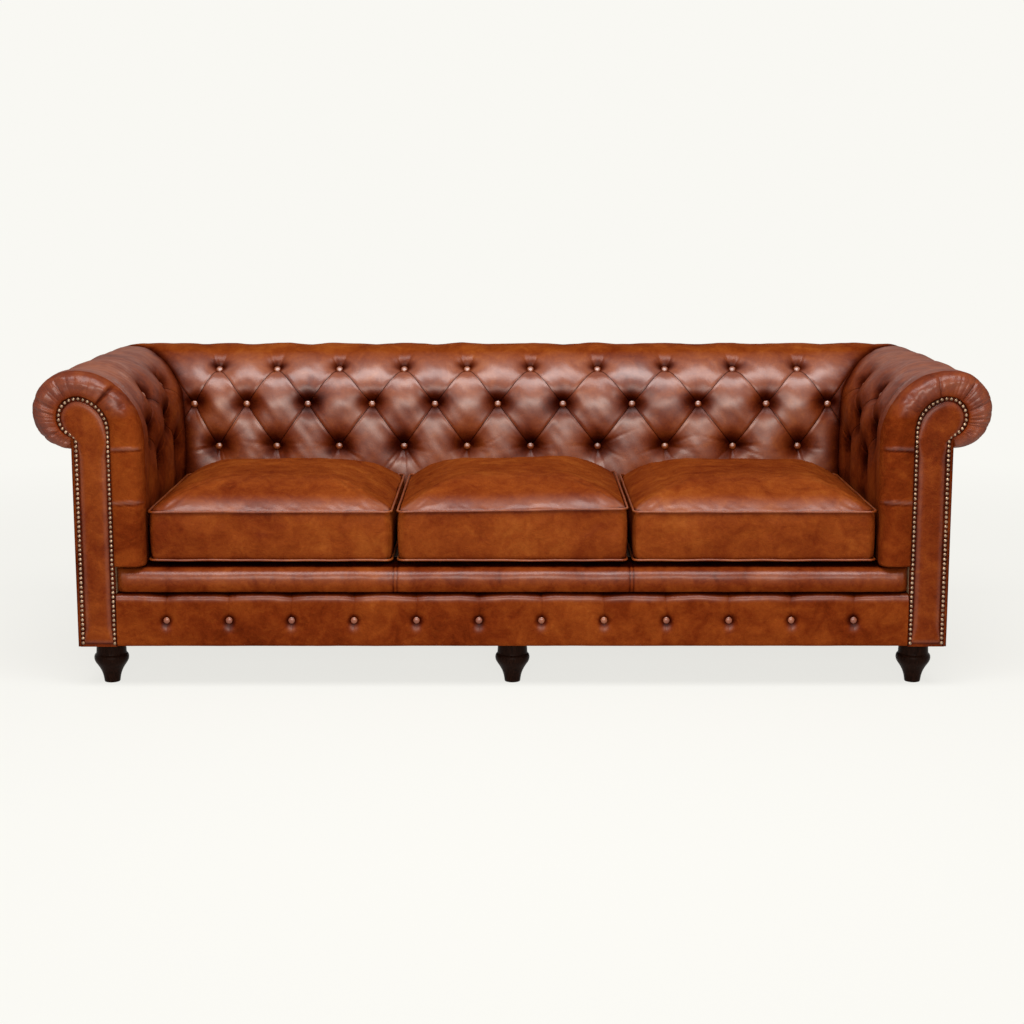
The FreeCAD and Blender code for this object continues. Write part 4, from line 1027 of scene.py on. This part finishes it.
def pleat_lines(finish):
    """Distance to the nearest pleat on a buttoned pad, from the pad's own map of columns and
    rows: the smaller of |sin(pi (u+v+1)/2)| and |sin(pi (u-v+1)/2)|."""
    spot = finish.node("ShaderNodeUVMap", {"uv_map": "pleats"})
    u = finish.node("ShaderNodeSeparateXYZ", {}, {0: spot})
    v = u.beside(1)
    s = ((u + v + 1) * (PI / 2)).sine().size()
    t = ((u - v + 1) * (PI / 2)).sine().size()
    return s.smaller(t)


def leather(name, tone=0.0, pleated=False, wrinkled=1.0, rough=0.36, shine=0.0, wax=1.5):
    """Waxed, worn leather: red-brown ground, tan where it is rubbed, with painted shade that
    darkens it nearly to black in hollows, folds and seams, painted light on some tops, and on
    buttoned pads painted shade along the pleat lines.
    """
    f = Finish(name)
    place = f.place()
    cloud = f.noise(place, 4.5, 3, 0.5)
    mottle = f.noise(place, 21, 5, 0.62, 0.6)
    speck = f.noise(place, 95, 4, 0.6)
    scuff = f.noise(f.stretched(place, (1, 1, 2.4)), 38, 4, 0.7, 1.2)
    # The painted light and shade value: below 1 it darkens the colour as painted shade, above 1 it
    # lightens it as painted light
    crest = f.attribute("crest")
    tint = cloud * 0.42 + mottle * 0.45 + speck * 0.16 + (crest - 0.9) * 0.25 + (tone - 0.03)
    ground = f.ramp(tint, (
        (0.16, (0.022, 0.0024, 0.0008)),
        (0.82, (0.330, 0.0900, 0.0150)),
        (0.32, (0.064, 0.0075, 0.0016)),
        (0.46, (0.136, 0.0205, 0.0036)),
        (0.60, (0.208, 0.0410, 0.0066)),
    ))
    rubbed = ((scuff - 0.56) * 5).clamped() * 0.30
    colour = f.mixed(rubbed, ground, (0.26, 0.065, 0.010, 1))
    # Painted shade in hollows, creases and seams: it darkens the colour and roughens the surface
    folds = (1 - crest).clamped() ** 1.4
    colour = f.mixed(folds * 0.9, colour, (0.20, 0.09, 0.06, 1), "MULTIPLY")
    grain = f.cells(place, 430)
    pores = f.noise(place, 700, 2, 0.5)
    lines = (1 - (f.noise(place, 46, 3, 0.55, 0.8) - 0.5).size() * 9).clamped()
    fine = (1 - (f.noise(place, 120, 3, 0.5, 0.6) - 0.5).size() * 7).clamped()
    height = f.bump(grain * 0.6 + pores * 0.4, 0.00022, 0.5)
    height = f.bump(lines * -1.0 * wrinkled + fine * -0.4 * wrinkled, 0.0007, 0.6, height)
    height = f.bump(f.noise(place, 13, 3, 0.5), 0.0025 * wrinkled, 0.5, height)
    if pleated:
        # Each pleat line is a crease in the bump and painted shade in the colour
        line = (1 - pleat_lines(f) * 22).clamped() ** 1.4 * f.attribute("pleat")
        height = f.bump(line * -1.0, 0.0025, 0.8, height)
        colour = f.mixed(line * 0.8, colour, (0.18, 0.09, 0.06, 1), "MULTIPLY")
    gloss = speck * 0.12 + mottle * 0.10 + folds * 0.18 - rubbed * 0.1 + (rough - 0.10)
    waxed = f.attribute("polish") * (mottle * 0.3 + 0.85)
    if pleated:
        waxed = waxed * (1 - line)
    return f.finished(Base_Color=colour, Roughness=gloss, Normal=height, Specular_IOR_Level=shine,
                      Coat_Weight=waxed, Coat_Roughness=0.34, Coat_IOR=wax)


def timber(name, dark, light):
    """Wavy bands along the grain, with long fine fibres over them."""
    f = Finish(name)
    place = f.stretched(f.place(), (1.0, 6.0, 6.0))
    bands = {"wave_type": "BANDS", "bands_direction": "Y"}
    waves = {"Vector": place, "Scale": 9.0, "Distortion": 6.0, "Detail": 3.0, "Detail Scale": 1.5}
    rings = f.node("ShaderNodeTexWave", bands, waves, "Fac")
    fibre = f.noise(f.stretched(f.place(), (4, 90, 90)), 6, 4, 0.6)
    colour = f.ramp(rings * 0.6 + fibre * 0.4, ((0.25, dark), (0.75, light)))
    return f.finished(Base_Color=colour, Roughness=0.6 + fibre * 0.15,
                      Normal=f.bump(fibre, 0.0006, 0.5))


def polished_feet():
    """Nearly black wood: noise drawn out upwards gives its colour, gloss and fibres."""
    f = Finish("dark_feet")
    place = f.place()
    fibre = f.noise(f.stretched(place, (60, 60, 9)), 5, 4, 0.6)
    colour = f.ramp(fibre, ((0.3, (0.006, 0.0025, 0.0015)), (0.75, (0.020, 0.0075, 0.0045))))
    return f.finished(Base_Color=colour, Roughness=0.28 + fibre * 0.12,
                      Normal=f.bump(fibre, 0.0003, 0.4), Specular_IOR_Level=0.025)


def aged_brass():
    """Brass that is brown where the noise is low, under a finer uneven surface."""
    f = Finish("aged_brass")
    place = f.place()
    tarnish = f.noise(place, 160, 4, 0.6)
    colour = f.ramp(tarnish, ((0.35, (0.10, 0.050, 0.026)), (0.62, (0.40, 0.27, 0.18))))
    return f.finished(Base_Color=colour, Metallic=0.9, Roughness=0.20 + tarnish * 0.2,
                      Normal=f.bump(f.noise(place, 900, 2, 0.5), 0.0002, 0.4))


def woven(name, dark, light, count):
    """A plain weave: the product of two rows of bands, which rise in turn."""
    f = Finish(name)
    x = f.node("ShaderNodeSeparateXYZ", {}, {0: f.place()})
    threads = (x * count).sine() * ((x.beside(1) + x.beside(2)) * count).sine()
    slub = f.noise(f.place(), 140, 3, 0.6)
    colour = f.ramp(threads * 0.35 + slub * 0.6 + 0.15, ((0.2, dark), (0.8, light)))
    return f.finished(Base_Color=colour, Roughness=0.9 - slub * 0.1,
                      Normal=f.bump(threads, 0.0004, 0.7))


def fibrous(name, dark, light, scale):
    """Felt, board or foam: one fine noise mixes two colours and raises the surface."""
    f = Finish(name)
    place = f.place()
    tuft = f.noise(place, scale, 5, 0.65)
    colour = f.ramp(tuft, ((0.3, dark), (0.7, light)))
    return f.finished(Base_Color=colour, Roughness=0.95 - tuft * 0.1,
                      Normal=f.bump(tuft, 0.002, 0.6))


def metal(name, colour, rough):
    """Metal, with noise squeezed along Z as brushing: it changes the colour and the gloss."""
    f = Finish(name)
    brushed = f.noise(f.stretched(f.place(), (40, 40, 400)), 8, 3, 0.5)
    base = f.ramp(brushed, ((0.3, tuple(c * 0.7 for c in colour)), (0.7, colour)))
    return f.finished(Base_Color=base, Metallic=1.0, Roughness=rough + brushed * 0.15)


back_leather = leather("buttoned_back_leather", tone=0.06, pleated=True, wrinkled=0.7, wax=1.75)
arm_leather = leather("buttoned_arm_leather", tone=-0.02, pleated=True, wax=1.6)
plain_leather = leather("plain_leather")
seat_leather = leather("seat_leather", tone=0.05, wrinkled=1.2)
button_leather = leather("button_leather", tone=0.08, wrinkled=0.2, rough=0.3, shine=0.5, wax=1.8)
welt_leather = leather("welt_leather", tone=0.07, wrinkled=0.5)
trim_leather = leather("trim_leather", tone=-0.24, wrinkled=0.3, rough=0.5)
brass = aged_brass()
feet_finish = polished_feet()

node_finishes = {
    "frame_wood": timber("beech_rails", (0.36, 0.22, 0.11), (0.60, 0.43, 0.26)),
    "liner_board": fibrous("liner_board", (0.30, 0.21, 0.12), (0.52, 0.40, 0.26), 60),
    "webbing": woven("jute_webbing", (0.22, 0.14, 0.07), (0.46, 0.34, 0.20), 900),
    "padding": fibrous("felt_padding", (0.55, 0.51, 0.43), (0.82, 0.78, 0.68), 160),
    "foam": fibrous("cushion_foam", (0.70, 0.60, 0.38), (0.86, 0.78, 0.56), 260),
    "deck_cloth": woven("deck_cloth", (0.05, 0.022, 0.012), (0.13, 0.065, 0.035), 2400),
    "dust_cloth": woven("dust_cloth", (0.008, 0.008, 0.009), (0.035, 0.035, 0.037), 1800),
    "bolt_steel": metal("bolt_steel", (0.62, 0.62, 0.64), 0.35),
    "zip_brass": metal("zip_brass", (0.50, 0.34, 0.14), 0.35),
    "dark_wood": feet_finish,
    "brown_leather": plain_leather,
    "cushion_leather": seat_leather,
}


# Dressing the frame

slot_of = {part["node"]: part["material_slot"] for part in frame["record"]["subparts"]}
for node, item in frame["nodes"].items():
    item.data.materials.clear()
    item.data.materials.append(node_finishes[slot_of[node]])


def add(name, shapes, finish, node=None):
    """One piece on the sofa's frame, from shapes and a finish; the node it replaces is hidden."""
    piece = make_piece(name, shapes, finish)
    if node:
        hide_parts(node)


HIDE = "brown_leather"
add("back_pad", [inside_back()], back_leather, "inside_back")
add("back_pad_buttons", pad_buttons(BACK_SPOTS, on_back), button_leather, "back_buttons")
facing, trim, panel = arm_facing(), facing_trim(), outside_arm()
buttons = pad_buttons(ARM_SPOTS, on_arm)
for button in buttons:
    button["polish"] = 0.05 * button["polish"]
for side, turned, seed in (("right", lambda shape: shape, 21), ("left", mirrored, 34)):
    pad, knobs, nails = [inside_arm(seed)], buttons, facing_nails(seed)
    for name, shapes, finish, slot, node, padded in (
            ("arm_pad", pad, arm_leather, HIDE, f"inside_arm_{side}", 0.8),
            ("arm_pad_buttons", knobs, button_leather, HIDE, f"arm_buttons_{side}", None),
            ("facing", [facing], plain_leather, HIDE, f"arm_facing_{side}", 0.9),
            ("facing_trim", [trim], trim_leather, HIDE, None, None),
            ("facing_nails", nails, brass, None, None, None),
            ("outer_panel", [panel], plain_leather, HIDE, f"outside_arm_{side}", 0.9)):
        add(f"{name}_{side}", [turned(shape) for shape in shapes], finish, node)
add("back_panel", [outside_back()], plain_leather, "outside_back")
add("seat_lip", [front_lip()], plain_leather, "front_lip")
add("seat_border", [front_border()], plain_leather, "front_border")
add("seat_border_buttons", border_buttons(), button_leather, "border_buttons")
for (name, span), seed in zip(CUSHIONS.items(), (40, 50, 60)):
    cushion(name, span, seed, seat_leather)
    cushion_piping(name, span, welt_leather)
for row, y in FEET_Y:
    feet = [turned_foot(x, y) for x in FEET_X]
    add(f"turned_feet_{row}", feet, feet_finish, f"{row}_feet")


# Floor, light and camera


PALE = (0.947, 0.939, 0.896, 1)


def floor_finish():
    """A pale floor. What the camera and clear reflections see of it is mostly lifted towards
    the backdrop's colour, with the shadow kept, and further out it runs into the backdrop."""
    f = Finish("studio_floor")
    speck = f.noise(f.place(), 3.0, 2, 0.5)
    colour = f.ramp(speck, ((0.3, (0.70, 0.695, 0.67)), (0.7, (0.72, 0.715, 0.69))))
    plain = f.node("ShaderNodeBsdfDiffuse", {}, {"Color": colour})
    faint = f.node("ShaderNodeBsdfDiffuse", {}, {"Color": (0.165, 0.164, 0.157, 1)})
    glow = f.node("ShaderNodeEmission", {}, {"Color": PALE, "Strength": 0.80})
    near = f.node("ShaderNodeAddShader", {}, {0: faint, 1: glow})
    far = f.node("ShaderNodeEmission", {}, {"Color": PALE, "Strength": 1.0})
    radius = f.node("ShaderNodeVectorMath", {"operation": "LENGTH"}, {0: f.place()}, "Value")
    share = ((radius - 1.7) / 2.2).clamped()
    lifted = f.node("ShaderNodeMixShader", {}, {0: share, 1: near, 2: far})
    f.node_out(f.node("ShaderNodeMixShader", {}, {0: f.seen(), 1: plain, 2: lifted}))
    return f.material


turn = np.linspace(0, 2 * PI, 96, endpoint=False)[None, :]
reach = np.array([1.0, 2000.0, 5000.0, 12000.0, 40000.0])[:, None]
level = 0 * reach * turn - 0.2
disc = np.stack([reach * np.cos(turn), reach * np.sin(turn), level], -1)
ground = grid(disc, wrap_columns=True)
floor_mesh = bpy.data.meshes.new("floor")
floor_mesh.from_pydata(ground["points"] * MM, [], ground["faces"][0].tolist())
floor_mesh.materials.append(floor_finish())
floor = bpy.data.objects.new("floor", floor_mesh)
bpy.context.scene.collection.objects.link(floor)


def lamp(name, place, aim, size, power, colour=(1, 1, 1)):
    """A rectangular light turned to its aim, which the camera doesn't see."""
    light = bpy.data.lights.new(name, "AREA")
    light.shape, light.size, light.size_y = "RECTANGLE", size[0], size[1]
    light.energy, light.color = power, colour
    item = bpy.data.objects.new(name, light)
    item.location = place
    direction = np.asarray(aim, float) - place
    item.rotation_mode = "QUATERNION"
    item.rotation_quaternion = Vector(direction).to_track_quat("-Z", "Y")
    item.visible_camera = False
    bpy.context.scene.collection.objects.link(item)


lamp("low_softbox", (0.0, -6.2, 1.75), (0, 0, 0.5), (4.2, 1.4), 180, (1.0, 0.94, 0.86))
lamp("high_softbox", (0.0, -1.7, 4.1), (0, 0, 0.4), (4.2, 2.0), 185)
lamp("behind", (0.0, 4.6, 0.7), (0, 0, 0.4), (3.0, 0.8), 50)

world = bpy.data.worlds.new("studio")
bpy.context.scene.world = world
sky = Finish("studio", world)
dim = sky.node("ShaderNodeBackground", {}, {"Color": PALE, "Strength": 0.25})
bright = sky.node("ShaderNodeBackground", {}, {"Color": PALE, "Strength": 1.0})
backdrop = sky.node("ShaderNodeMixShader", {}, {0: sky.seen(), 1: dim, 2: bright})
sky.node_out(backdrop, "ShaderNodeOutputWorld")

view = bpy.data.cameras.new("photograph")
view.sensor_width, view.lens = 36.0, 1945.0 / 1024 * 36
view.clip_start, view.clip_end = 0.05, 100
camera = bpy.data.objects.new("photograph", view)
camera.location = (-0.0057, -5.047, 1.2225)
camera.rotation_euler = (PI / 2 - 0.1698, 0, -0.001)
bpy.context.scene.collection.objects.link(camera)
bpy.context.scene.camera = camera
bpy.context.scene.view_settings.view_transform = "Standard"
